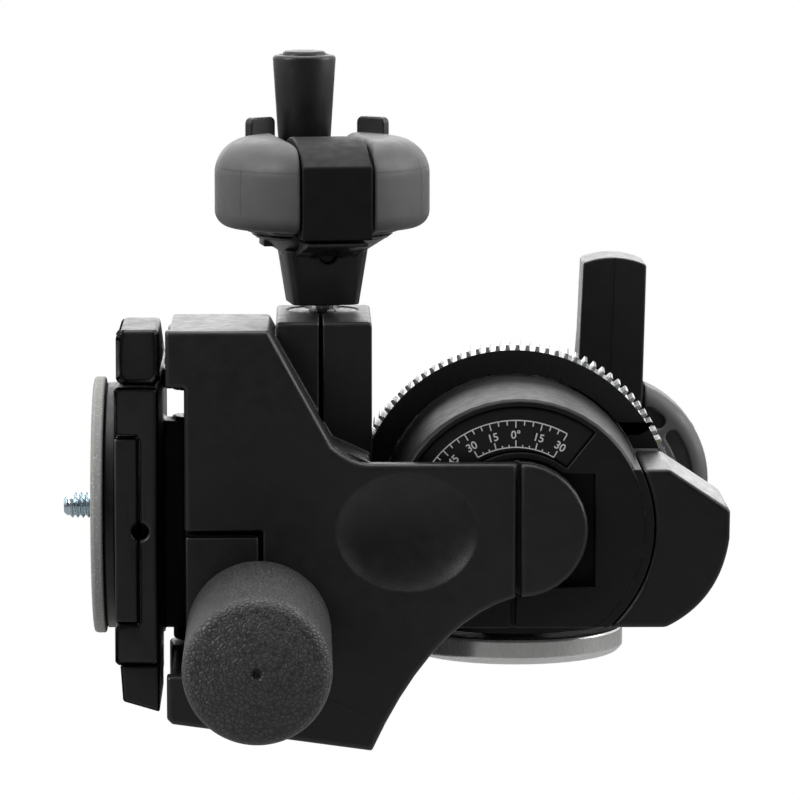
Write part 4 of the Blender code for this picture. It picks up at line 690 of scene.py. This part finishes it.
def lobe_skin():
    """Outline of the wings' turned form from its flat underside to its crown, with a faint parting line."""
    points = [(LOBE_FLAT_R, LOBE_LOW)]
    points += arc((LOBE_R - LOBE_LOW_ROUND, LOBE_LOW + LOBE_RISE + LOBE_LOW_ROUND), LOBE_LOW_ROUND,
                  -math.pi / 2, math.pi / 2, ROUND_STEPS)
    centre = (LOBE_R - LOBE_HIGH_ROUND, LOBE_HIGH - LOBE_HIGH_ROUND)
    lines = []
    for shift, sunk in ((-1, 0), (0, 1), (1, 0)):
        rise = LOBE_PARTING + shift * LOBE_PARTING_DEPTH - centre[1]
        lines.append((math.asin(rise / LOBE_HIGH_ROUND), LOBE_HIGH_ROUND - sunk * LOBE_PARTING_DEPTH))
    steps = ROUND_STEPS * 3 // 2
    rounds = [(math.pi / 2 * i / steps, LOBE_HIGH_ROUND) for i in range(steps + 1)]
    clear = 2 * LOBE_PARTING_DEPTH / LOBE_HIGH_ROUND
    rounds = [r for r in rounds if abs(r[0] - lines[1][0]) > clear] + lines
    points += [(centre[0] + r * math.cos(a), centre[1] + r * math.sin(a)) for a, r in sorted(rounds)]
    return points


def pulled(outline, low, high, place):
    """A closed prism: an outline of two numbers each, pulled from low to high."""
    bm = bmesh.new()
    ends = [[bm.verts.new(place(a, b, c)) for a, b in outline] for c in (low, high)]
    bm.faces.new(ends[0][::-1])
    bm.faces.new(ends[1])
    for i in range(len(outline)):
        j = (i + 1) % len(outline)
        bm.faces.new((ends[0][i], ends[0][j], ends[1][j], ends[1][i]))
    bmesh.ops.recalc_face_normals(bm, faces=bm.faces)
    return bm


def carved(obj, bm, operation="DIFFERENCE"):
    """Applies one boolean with a closed form that is made for it."""
    cutter = piece_of("cutter", bm, None, obj.data.materials[0], smooth=None)
    modifier = obj.modifiers.new("Cut", "BOOLEAN")
    modifier.operation = operation
    modifier.solver = "EXACT"
    modifier.object = cutter
    bpy.context.view_layer.update()
    graph = bpy.context.evaluated_depsgraph_get()
    mesh = bpy.data.meshes.new_from_object(obj.evaluated_get(graph))
    obj.modifiers.clear()
    obj.data = mesh
    bpy.data.objects.remove(cutter, do_unlink=True)


def slot_outline(middle, spread):
    """A curved slot with round ends."""
    first, last = middle - spread / 2, middle + spread / 2
    outline = arc((0, 0), SLOT_R + SLOT_HALF, first, spread, LONG_STEPS)
    outline += arc((SLOT_R * math.cos(last), SLOT_R * math.sin(last)), SLOT_HALF,
                   last, math.pi, CORNER_STEPS)[1:-1]
    outline += arc((0, 0), SLOT_R - SLOT_HALF, last, -spread, LONG_STEPS)
    outline += arc((SLOT_R * math.cos(first), SLOT_R * math.sin(first)), SLOT_HALF,
                   first + math.pi, math.pi, CORNER_STEPS)[1:-1]
    return outline


def wing(node, side, place, material, tab_material):
    """A rubber wing with its rounded inner rim, underside pockets, moulding seams and finger tab."""
    skin = [(0, LOBE_LOW)] + lobe_skin() + [(0, LOBE_HIGH)]
    lobe = piece_of(node + "_form", lathe(skin, FINE_STEPS * 2), None, material, smooth=None)
    far = LOBE_R * 1.5
    start = LOBE_INNER_X + LOBE_END_ROUND
    crown = LOBE_HIGH + LIFT - LOBE_END_ROUND
    half = [(far, far * 2), (start, far * 2)]
    half += arc((start, crown), LOBE_END_ROUND, math.pi / 2, math.pi / 2, ROUND_STEPS)
    half += [(LOBE_INNER_X, 0), (far, 0)]
    half = [(side * x, z) for x, z in half]
    zone = pulled(half, -far, far, lambda x, z, y: (x, y, z))
    carved(lobe, zone, "INTERSECT")
    for middle, spread in SLOTS:
        middle = math.radians(middle) + (math.pi if side < 0 else 0)
        outline = slot_outline(middle, math.radians(spread))
        carved(lobe, pulled(outline, 0, SLOT_TOP, lambda x, y, z: (x, y, z)))
    lobe.data.transform(place)
    lobe.data.shade_smooth()
    lobe.data.set_sharp_from_angle(angle=SMOOTH_ANGLE)
    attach(lobe, body_of(node))
    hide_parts(node)
    for turn in (-SEAM_ANGLE, SEAM_ANGLE):
        seam = wing_seam(turn + (math.pi if side < 0 else 0))
        seam = piece_of(node + ("_near_seam" if turn * side < 0 else "_far_seam"), seam, None, material)
        seam.data.transform(place)
        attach(seam, body_of(node))
    wide = TAB_WIDTH / 2
    front = [(-wide, TAB_LOW), (wide, TAB_LOW)]
    for centre, start in ((wide - TAB_ROUND, 0), (TAB_ROUND - wide, math.pi / 2)):
        front += arc((centre, TAB_TOP - TAB_ROUND), TAB_ROUND, start, math.pi / 2, CORNER_STEPS)
    tab = pulled(front, TAB_FAR_R - TAB_T, TAB_FAR_R, lambda x, z, y: (x, y, z))
    tab = piece_of(node + "_tab", tab, None, tab_material)
    tab.data.transform(place @ Matrix.Rotation(TAB_ANGLES[side] - math.pi / 2, 4, "Z"))
    bevelled(tab, EDGE_WIDTH / 2, 2)
    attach(tab, body_of(node))


def wing_seam(angle):
    """A faint moulded ridge that runs up the wing's side at one angle."""
    bm = bmesh.new()
    rows = []
    skin = [p for p in lobe_skin() if LOBE_LOW + LOBE_LOW_ROUND < p[1] < LOBE_HIGH - LOBE_HIGH_ROUND * 0.35]
    for i, (radius, height) in enumerate(skin):
        share = min(1.0, i / 2, (len(skin) - 1 - i) / 4)
        row = []
        for across, lift in ((-SEAM_HALF, -LIFT), (0, SEAM_HEIGHT * share), (SEAM_HALF, -LIFT)):
            turn = angle + across / radius
            reach = radius + lift
            row.append(bm.verts.new((reach * math.cos(turn), reach * math.sin(turn), height)))
        rows.append(row)
    for low, high in zip(rows, rows[1:]):
        for k in range(2):
            bm.faces.new((low[k], low[k + 1], high[k + 1], high[k]))
    return bm


def knob_core(node, place, material):
    """The neck and hub, without the guide rail that the crank hides, and a smooth skirt under the wings."""
    core = piece_of(node + "_form", clean_copy(node), None, material)
    wide = LOBE_R
    above = pulled([(-wide, -wide), (wide, -wide), (wide, wide), (-wide, wide)], HUB_HIGH, LOBE_HIGH,
                   lambda x, y, z: (x, y, z))
    above.transform(place)
    carved(core, above)
    core.data.shade_smooth()
    core.data.set_sharp_from_angle(angle=SMOOTH_ANGLE)
    bevelled(core, EDGE_WIDTH / 2)
    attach(core, body_of(node))
    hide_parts(node)
    skirt = piece_of(node + "_skirt", lathe(SKIRT), None, material)
    skirt.data.transform(place)
    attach(skirt, body_of(node))


def crank_bar(node, place, offset, material):
    """The bar with its domed end and humped back, a faint parting line below and the grip's post."""
    chord = HUMP_END_Y - BAR_NEAR_Y
    radius = (chord * chord / 4 + HUMP_HEIGHT * HUMP_HEIGHT) / (2 * HUMP_HEIGHT)
    spread = math.asin(chord / 2 / radius)
    centre = (BAR_NEAR_Y + chord / 2, BAR_HIGH + HUMP_HEIGHT - radius)
    side = [(BAR_FAR_Y * 2, BAR_LOW), (BAR_FAR_Y * 2, BAR_HIGH)]
    side += arc(centre, radius, math.pi / 2 - spread, 2 * spread, CORNER_STEPS * 4)
    side += [(BAR_NEAR_Y, BAR_LOW)]
    wide = BAR_NEAR_HALF * 2
    bar = piece_of(node + "_form", pulled(side, -wide, wide, lambda y, z, x: (x, y, z)), None, material,
                   smooth=None)
    reach = (BAR_FAR_HALF * BAR_FAR_HALF + BAR_DOME * BAR_DOME) / (2 * BAR_DOME)
    turn = math.asin(BAR_FAR_HALF / reach)
    plan = arc((0, BAR_FAR_Y - reach), reach, math.pi / 2 - turn, 2 * turn, CORNER_STEPS * 2)
    plan += [(-BAR_NEAR_HALF, BAR_NEAR_Y - LIFT), (BAR_NEAR_HALF, BAR_NEAR_Y - LIFT)]
    zone = pulled(plan, 0, LOBE_HIGH * 2, lambda x, y, z: (x, y, z))
    carved(bar, zone, "INTERSECT")
    shift = place @ Matrix.Translation((0, offset, 0))
    bar.data.transform(shift)
    bar.data.shade_smooth()
    bar.data.set_sharp_from_angle(angle=SMOOTH_ANGLE)
    bevelled(bar, angle=BAR_EDGE_ANGLE)
    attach(bar, body_of(node))
    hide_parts(node)
    ridge = pulled([(-BAR_LINE, BAR_LOW + LIFT), (0, BAR_LOW - LIFT * 3), (BAR_LINE, BAR_LOW + LIFT)],
                   BAR_NEAR_Y - LIFT, BAR_FAR_Y - LIFT, lambda x, z, y: (x, y, z))
    ridge = piece_of(node + "_parting_line", ridge, None, material)
    ridge.data.transform(shift)
    foot = BAR_HIGH - POST_R / 2
    post = lathe([(0, foot), (POST_R, foot), (POST_R, POST_HIGH), (0, POST_HIGH)])
    post = piece_of(node + "_post", post, None, material)
    post.data.transform(shift @ Matrix.Translation((GRIP_ASIDE, GRIP_AT, 0)))
    for obj in (ridge, post):
        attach(obj, body_of(node))


def crank_grip(node, place, offset, material):
    """Cone with a rounded lip, a groove inside it and a shallow dished disc on top."""
    lip = GRIP_LIP
    profile = [(0, GRIP_BORE_TOP), (GRIP_BORE_R, GRIP_BORE_TOP), (GRIP_BORE_R, GRIP_LOW),
               (GRIP_LOW_R - lip / 3, GRIP_LOW), (GRIP_LOW_R, GRIP_LOW + lip / 2)]
    profile += arc((GRIP_TOP_R - lip, GRIP_HIGH - lip * 2), lip, 0, math.pi / 2, LIP_STEPS)
    profile += [(GRIP_TOP_R - lip * inward, GRIP_HIGH - lip * below) for inward, below in GRIP_GROOVE_SHARES]
    profile += [(GRIP_TOP_R / 3, GRIP_HIGH - GRIP_DISH / 2), (0, GRIP_HIGH - GRIP_DISH)]
    grip = piece_of(node + "_form", lathe(profile), None, material)
    grip.data.transform(place @ Matrix.Translation((GRIP_ASIDE, GRIP_AT + offset, 0)))
    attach(grip, body_of(node))
    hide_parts(node)


# Cover and gear


def worm_cover(node, material):
    """Moulded cover: a facetted top, a full curve below at the right, and a drafted rear half."""
    axis = joint("side_tilt")["pos_m"]
    foot = math.asin((COVER_LOW_Z - axis[2]) / COVER_GAP_R)
    outer = [(COVER_FOOT_X, COVER_LOW_Z)]
    low = Vector((COVER_FOOT_X, COVER_LOW_Z))
    pull = Vector((COVER_CURVE_X, COVER_CURVE_Z))
    high = Vector(COVER_TIP[1])
    for i in range(1, COVER_STEPS):
        t = i / COVER_STEPS
        outer.append(tuple((1 - t) * (1 - t) * low + 2 * t * (1 - t) * pull + t * t * high))
    outer += [COVER_TIP[1], COVER_TIP[0], (COVER_HIGH_X, COVER_HIGH_Z)]
    worm = joint("pan_knob_turn")["pos_m"]
    bm = bmesh.new()
    rings = []
    for y, draft in ((COVER_FRONT_Y, 0.0), (COVER_SHOULDER_Y, 0.0), (COVER_REAR_Y, COVER_DRAFT)):
        ring = []
        for x, z in outer:
            away = Vector((x - worm[0], z - worm[2]))
            away *= 1 - draft / away.length
            ring.append(bm.verts.new((worm[0] + away.x, y, max(COVER_LOW_Z, worm[2] + away.y))))
        start = ring[-1].co.z - axis[2]
        turn = math.asin(start / COVER_GAP_R)
        for x, z in arc((0, axis[2]), COVER_GAP_R, turn, foot - turn, COVER_GAP_STEPS):
            ring.append(bm.verts.new((x, y, z)))
        rings.append(ring)
    count = len(rings[0])
    for near, far in zip(rings, rings[1:]):
        for i in range(count):
            j = (i + 1) % count
            bm.faces.new((near[i], near[j], far[j], far[i]))
    bm.faces.new(rings[0][::-1])
    bm.faces.new(rings[-1])
    cover = piece_of(node + "_form", bm, None, material, smooth=None)
    deep = COVER_REAR_Y * 3
    bore = lathe([(0, 0), (BARREL_BORE_R, 0), (BARREL_BORE_R, deep), (0, deep)])
    bore.transform(Matrix.Translation((worm[0], BARREL_BORE_Y, worm[2]))
                   @ Matrix.Rotation(-math.pi / 2, 4, "X"))
    carved(cover, bore)
    carved(cover, lathe([(0, 0), (CAN_BORE_R, 0), (CAN_BORE_R, CAN_BORE_Z), (0, CAN_BORE_Z)]))
    cover.data.shade_smooth()
    cover.data.set_sharp_from_angle(angle=COVER_EDGE_ANGLE)
    bevelled(cover, COVER_EDGE, angle=COVER_EDGE_ANGLE)
    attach(cover, body_of(node))
    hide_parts(node)


def gear_tail(node, material):
    """The toothed sector's last few teeth, down to the cover, starting inside the sector's end."""
    axis = joint("side_tilt")["pos_m"]
    low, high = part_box(node)
    centre = Matrix.Translation((0, 0, axis[2]))
    turn = Matrix.Rotation(2 * math.pi / GEAR_TEETH * GEAR_TAIL_TEETH, 4, "Y")
    bm = clean_copy(node)
    bm.transform(centre @ turn @ centre.inverted())
    tail = piece_of(node + "_tail", bm, None, material, smooth=None)
    right_end = min(v.co.z for v in frame["nodes"][node].data.vertices if v.co.x > COVER_GAP_R / 2)
    zone = pulled([(COVER_GAP_R / 2, low.y - LIFT), (COVER_GAP_R * 2, low.y - LIFT),
                   (COVER_GAP_R * 2, high.y + LIFT), (COVER_GAP_R / 2, high.y + LIFT)],
                  GEAR_TAIL_LOW, right_end + GEAR_TAIL_OVERLAP, lambda x, y, z: (x, y, z))
    carved(tail, zone, "INTERSECT")
    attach(tail, body_of(node))


# Jaw


def drafted_jaw(node, material):
    """The jaw with a flat top over its front part and a sloping top behind it."""
    low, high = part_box(node)
    top = high.z - JAW_TOP_CUT
    rear = high.y + JAW_EDGE
    slope = math.tan(JAW_SLOPE) * (rear - low.y - JAW_FLAT)
    side = [(low.y - JAW_EDGE, top), (low.y + JAW_FLAT, top), (rear, top - slope),
            (rear, high.z + JAW_EDGE), (low.y - JAW_EDGE, high.z + JAW_EDGE)]
    jaw = piece_of(node + "_form", clean_copy(node), None, material)
    zone = pulled(side, low.x - JAW_EDGE, high.x + JAW_EDGE, lambda y, z, x: (x, y, z))
    carved(jaw, zone)
    jaw.data.shade_smooth()
    jaw.data.set_sharp_from_angle(angle=SMOOTH_ANGLE)
    bevelled(jaw, JAW_EDGE, 4, JAW_EDGE_ANGLE)
    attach(jaw, body_of(node))
    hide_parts(node)


# Front knob


def roll_sleeve(material):
    """Rubber sleeve with rounded corners, a slightly domed end and a centre dimple."""
    node = "front_knob_grip"
    low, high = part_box(node)
    radius = (high.x - low.x) / 2
    length = high.y - low.y
    far = length - ROLL_DOME
    profile = [(0, far - ROLL_WALL), (radius - ROLL_WALL, far - ROLL_WALL), (radius - ROLL_WALL, 0),
               (radius - ROLL_LIP, 0), (radius, ROLL_LIP)]
    edge = radius - ROLL_CORNER
    profile += arc((edge, far - ROLL_CORNER), ROLL_CORNER, 0, ROLL_CORNER_SWEEP, ROLL_CORNER_STEPS)
    for i in range(1, CORNER_STEPS):
        r = edge * (1 - i / CORNER_STEPS)
        if r > ROLL_DIMPLE * 2:
            profile.append((r, far + ROLL_DOME * (1 - (r / edge) ** 2)))
    profile += [(ROLL_DIMPLE * 1.3, length), (ROLL_DIMPLE, length - ROLL_DIMPLE / 5),
                (ROLL_DIMPLE / 2, length - ROLL_DIMPLE), (0, length - ROLL_DIMPLE)]
    sleeve = piece_of(node + "_form", lathe(profile, SLEEVE_STEPS), None, material)
    sleeve.data.transform(Matrix.Translation(((low.x + high.x) / 2, high.y, (low.z + high.z) / 2))
                          @ Matrix.Rotation(math.pi / 2, 4, "X"))
    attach(sleeve, body_of(node))
    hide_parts(node)


# Camera screw


def threaded_screw(material):
    """Quarter inch screw: a helical ridge on a core, with a disc head behind the plate."""
    node = "camera_screw"
    low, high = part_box(node)
    centre = (low.z + high.z) / 2
    head_r = (high.z - low.z) / 2
    steps = LONG_STEPS
    length = high.x - low.x
    count = (int((length - SCREW_HEAD_T) / SCREW_PITCH) - 1) * steps
    bm = bmesh.new()
    grid = []
    radii = (SCREW_ROOT_R, SCREW_ROOT_R, SCREW_CREST_R, SCREW_CREST_R, SCREW_ROOT_R)
    start = SCREW_HEAD_T + SCREW_PITCH / 4
    for i in range(count + 1):
        angle = 2 * math.pi * i / steps
        taper = min(1.0, i / (steps / 2), (count - i) / (steps / 2))
        row = []
        for share, radius in zip(SCREW_SHARES, radii):
            r = SCREW_ROOT_R + (radius - SCREW_ROOT_R) * taper
            z = start + SCREW_PITCH * (i / steps + share)
            row.append(bm.verts.new((r * math.cos(angle), r * math.sin(angle), z)))
        grid.append(row)
    for here, there in zip(grid, grid[1:]):
        for k in range(len(radii) - 1):
            bm.faces.new((here[k], there[k], there[k + 1], here[k + 1]))
    ridge = piece_of("camera_screw_thread", bm, None, material, smooth=SCREW_SMOOTH_ANGLE)
    edge = SCREW_HEAD_EDGE
    core = lathe([(0, 0), (head_r - edge, 0), (head_r, edge), (head_r, SCREW_HEAD_T - edge),
                  (head_r - edge, SCREW_HEAD_T), (SCREW_ROOT_R, SCREW_HEAD_T),
                  (SCREW_ROOT_R, length - SCREW_TIP), (SCREW_ROOT_R - SCREW_TIP, length), (0, length)])
    core = piece_of("camera_screw_form", core, None, material)
    for obj in (ridge, core):
        obj.data.transform(Matrix.Translation((high.x, 0, centre)) @ Matrix.Rotation(-math.pi / 2, 4, "Y"))
        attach(obj, body_of(node))
    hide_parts(node)


# Scale


def dial_point(radius, degrees, front):
    """Degrees run from the top towards the right, seen from the front."""
    axis = joint("side_tilt")["pos_m"]
    angle = math.radians(degrees)
    return Vector((DIAL_SHIFT_X + radius * math.sin(angle), front,
                   DIAL_SHIFT_Z + axis[2] + radius * math.cos(angle)))


def band(bm, inner, outer, start, end, front, steps):
    """A flat printed strip between two radii and two angles of the scale."""
    turns = [start + (end - start) * i / steps for i in range(steps + 1)]
    near = [bm.verts.new(dial_point(inner, turn, front)) for turn in turns]
    far = [bm.verts.new(dial_point(outer, turn, front)) for turn in turns]
    for i in range(steps):
        bm.faces.new((near[i], near[i + 1], far[i + 1], far[i]))


def dial_marks(material):
    """The scale's two arcs with their short and long strokes."""
    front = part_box(DIAL_PIECE)[0].y - LIFT
    bm = bmesh.new()
    half = DIAL_LINE / 2
    lines = ((DIAL_ARC_OUT_R, DIAL_LEFT, DIAL_ARC_STEPS, -DIAL_MINOR, -DIAL_MAJOR),
             (DIAL_ARC_IN_R, DIAL_INNER_LEFT, DIAL_ARC_STEPS // 2, DIAL_INNER_MINOR, DIAL_INNER_MAJOR))
    for radius, left, steps, minor, major in lines:
        band(bm, radius - half, radius + half, -left, DIAL_RIGHT, front, steps)
        width = math.degrees(half / radius)
        foot = radius + math.copysign(half * DIAL_OVERLAP_SHARE, major)
        for degrees in range(-left, DIAL_RIGHT + 1, DIAL_STEP):
            tip = radius + (major if degrees % DIAL_LABEL_STEP == 0 else minor)
            band(bm, min(foot, tip), max(foot, tip), degrees - width, degrees + width, front, 1)
    marks = piece_of("scale_marks", bm, body_of(DIAL_PIECE), material, smooth=None)


def dial_numbers(material):
    """The scale's numbers, each turned upright about the tilt axis."""
    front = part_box(DIAL_PIECE)[0].y - LIFT
    axis = joint("side_tilt")["pos_m"]
    for degrees in range(-DIAL_LEFT, DIAL_RIGHT + 1, DIAL_LABEL_STEP):
        words = str(abs(degrees)) + ("°" if degrees == 0 else "")
        curve = bpy.data.curves.new("number", "FONT")
        curve.body = words
        curve.size = DIAL_TEXT_HIGH / DIAL_CAPITAL_SHARE
        curve.offset = DIAL_BOLD
        curve.align_x = "CENTER"
        curve.align_y = "CENTER"
        text = bpy.data.objects.new("number", curve)
        bpy.context.scene.collection.objects.link(text)
        bpy.context.view_layer.update()
        mesh = bpy.data.meshes.new_from_object(text.evaluated_get(bpy.context.evaluated_depsgraph_get()))
        bpy.data.objects.remove(text, do_unlink=True)
        side = "left" if degrees < 0 else "right"
        obj = bpy.data.objects.new("scale_number_%s_%02d" % (side, abs(degrees)), mesh)
        bpy.context.scene.collection.objects.link(obj)
        mesh.materials.clear()
        mesh.materials.append(material)
        upright = Matrix.Rotation(math.pi / 2, 4, "X")
        turn = Matrix.Rotation(math.radians(degrees), 4, "Y")
        mesh.transform(Matrix.Translation((DIAL_SHIFT_X, front, DIAL_SHIFT_Z + axis[2])) @ turn
                       @ Matrix.Translation((0, 0, DIAL_TEXT_R)) @ upright)
        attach(obj, body_of(DIAL_PIECE))


# Stage


def area_lamp(name, place, size, power):
    data = bpy.data.lights.new(name, "AREA")
    data.shape = "SQUARE"
    data.size = size
    data.energy = power
    lamp = bpy.data.objects.new(name, data)
    bpy.context.scene.collection.objects.link(lamp)
    lamp.location = place
    lamp.visible_camera = False
    lamp.rotation_euler = (Vector(LAMP_TARGET) - Vector(place)).to_track_quat("-Z", "Y").to_euler()


def world():
    """White towards the camera, a bright backdrop side and a darker room side for reflections."""
    made = bpy.data.worlds.new("studio")
    bpy.context.scene.world = made
    made.use_nodes = True
    tree = made.node_tree
    tree.nodes.clear()
    add, link = tree.nodes.new, tree.links.new
    out = add("ShaderNodeOutputWorld")
    background = add("ShaderNodeBackground")
    path = add("ShaderNodeLightPath")
    place = add("ShaderNodeTexCoord")
    apart = add("ShaderNodeSeparateXYZ")
    link(place.outputs["Generated"], apart.inputs[0])
    studio = add("ShaderNodeMapRange")
    studio.interpolation_type = "SMOOTHSTEP"
    link(apart.outputs["Y"], studio.inputs["Value"])
    for key, number in (("From Min", DARK_SIDE_END), ("From Max", BACK_SIDE_END),
                        ("To Min", DARK_SIDE_SHARE), ("To Max", BACK_SIDE_SHARE)):
        studio.inputs[key].default_value = number
    shown = add("ShaderNodeMix")
    shown.data_type = "FLOAT"
    link(path.outputs["Is Glossy Ray"], shown.inputs["Factor"])
    shown.inputs[2].default_value = FILL_SHARE
    link(studio.outputs["Result"], shown.inputs[3])
    seen = add("ShaderNodeMath")
    seen.operation = "MAXIMUM"
    link(path.outputs["Is Camera Ray"], seen.inputs[0])
    link(path.outputs["Is Transmission Ray"], seen.inputs[1])
    strength = add("ShaderNodeMix")
    strength.data_type = "FLOAT"
    link(seen.outputs[0], strength.inputs["Factor"])
    link(shown.outputs[0], strength.inputs[2])
    strength.inputs[3].default_value = 1.0
    link(strength.outputs[0], background.inputs["Strength"])
    background.inputs["Color"].default_value = (1, 1, 1, 1)
    link(background.outputs[0], out.inputs["Surface"])


def floor():
    bm = bmesh.new()
    corners = ((-1, -1), (1, -1), (1, 1), (-1, 1))
    bm.faces.new([bm.verts.new((x * FLOOR_HALF, y * FLOOR_HALF, FLOOR_Z)) for x, y in corners])
    material = bpy.data.materials.new("pale_floor")
    material.use_nodes = True
    tree = material.node_tree
    shader = tree.nodes["Principled BSDF"]
    shader.inputs["Base Color"].default_value = (*FLOOR_GREY, 1)
    shader.inputs["Roughness"].default_value = FLOOR_ROUGHNESS
    white = tree.nodes.new("ShaderNodeEmission")
    white.inputs["Color"].default_value = (1, 1, 1, 1)
    white.inputs["Strength"].default_value = FLOOR_GLOW
    path = tree.nodes.new("ShaderNodeLightPath")
    mix = tree.nodes.new("ShaderNodeMixShader")
    half = tree.nodes.new("ShaderNodeMath")
    half.operation = "MULTIPLY"
    half.inputs[1].default_value = FLOOR_GLOW_SHARE
    tree.links.new(path.outputs["Is Camera Ray"], half.inputs[0])
    tree.links.new(half.outputs[0], mix.inputs["Fac"])
    tree.links.new(shader.outputs[0], mix.inputs[1])
    tree.links.new(white.outputs[0], mix.inputs[2])
    tree.links.new(mix.outputs[0], tree.nodes["Material Output"].inputs["Surface"])
    obj = piece_of("floor", bm, None, material, smooth=None)


def camera():
    data = bpy.data.cameras.new("camera")
    data.lens = CAMERA_LENS
    obj = bpy.data.objects.new("camera", data)
    bpy.context.scene.collection.objects.link(obj)
    direction = Vector((math.sin(CAMERA_AZIMUTH) * math.cos(CAMERA_ELEVATION),
                        -math.cos(CAMERA_AZIMUTH) * math.cos(CAMERA_ELEVATION), math.sin(CAMERA_ELEVATION)))
    obj.location = CAMERA_TARGET + direction * CAMERA_DISTANCE
    obj.rotation_euler = (-direction).to_track_quat("-Z", "Y").to_euler()
    data.clip_end = CAMERA_FAR
    bpy.context.scene.camera = obj


def stage():
    bpy.context.scene.view_settings.view_transform = "Standard"
    world()
    floor()
    camera()
    for name, (place, size, power) in LAMPS.items():
        area_lamp(name, place, size, power)


# Dressing


def dress():
    cast = cast_black()
    cover = smooth_black("smooth_black", MOULDED_COLOUR, MOULDED_SHEEN, MOULDED_EDGE)
    plastic = smooth_black("knob_plastic", KNOB_COLOUR, KNOB_SHEEN, KNOB_EDGE)
    # A darker, duller copy of the knob plastic for the tilt knob's crank: painted shade
    crank = smooth_black("crank_plastic_shaded", CRANK_SHADED_COLOUR, CRANK_SHEEN, KNOB_EDGE, specular=0.15)
    housing = cast_black("housing_black", specular=0.25)
    rubber = satin_rubber()
    leather = leather_rubber()
    steel = plain_metal("steel")
    dark_metal = plain_metal("dark_steel")
    brass = plain_metal("brass")
    zinc = plain_metal("zinc", ZINC_GRAIN)
    silver = turned_silver()
    washer = plain_metal("washer_metal")
    gear = gear_metal()
    pad = speckled_pad()
    white = dial_print()

    for node in ("main_casting", "arm_end_cap", "front_cover_plate", "lock_lever", "camera_plate"):
        dressed(node, cast)
    dressed("pan_housing", housing, EDGE_WIDTH / 2)
    dressed("adapter_body", cast, ADAPTER_EDGE)
    drafted_jaw("fixed_jaw", cast)
    worm_cover("pan_worm_cover", cover)
    gear_tail("tilt_worm_wheel", gear)
    tilt_place = knob_place("tilt_knob_turn", "tilt_crank_slide")
    pan_place = knob_place("pan_knob_turn", "pan_crank_slide")
    # The tilt knob's crank takes the shaded copy of the plastic, the pan knob's crank the knob plastic
    for prefix, place, offset, arm in (("tilt_knob", tilt_place, 0.0, crank),
                                       ("pan_knob", pan_place, CRANK_TRAVEL, plastic)):
        wing(prefix + "_left_lobe", -1, place, rubber, plastic)
        wing(prefix + "_right_lobe", 1, place, rubber, plastic)
        knob_core(prefix + "_core", place, plastic)
        crank_bar(prefix + "_crank_arm", place, offset, arm)
        crank_grip(prefix + "_crank_grip", place, offset, plastic)
    roll_sleeve(leather)
    threaded_screw(zinc)
    dial_marks(white)
    dial_numbers(white)
    recoloured("scale_plate", cover)
    recoloured("tilt_worm_wheel", gear)
    dressed("camera_disc", pad)
    dressed("base_disc", silver)
    for node in ("tilt_knob_washer", "pan_knob_washer"):
        recoloured(node, washer)
    for node in ("pan_column", "column_nut", "pan_worm", "tilt_worm", "front_worm", "tilt_spindle",
                 "front_pivot_pin", "lever_screw"):
        recoloured(node, steel)
    # Set screws in dark steel, and the worm bush too, as painted shade under the tilt knob's neck
    for node in ("tilt_knob_set_screw", "pan_knob_set_screw", "tilt_worm_bush"):
        recoloured(node, dark_metal)
    for node in ("pan_worm_wheel", "front_worm_wheel"):
        recoloured(node, brass)
    recoloured("front_knob_core", plastic)


stage()
dress()
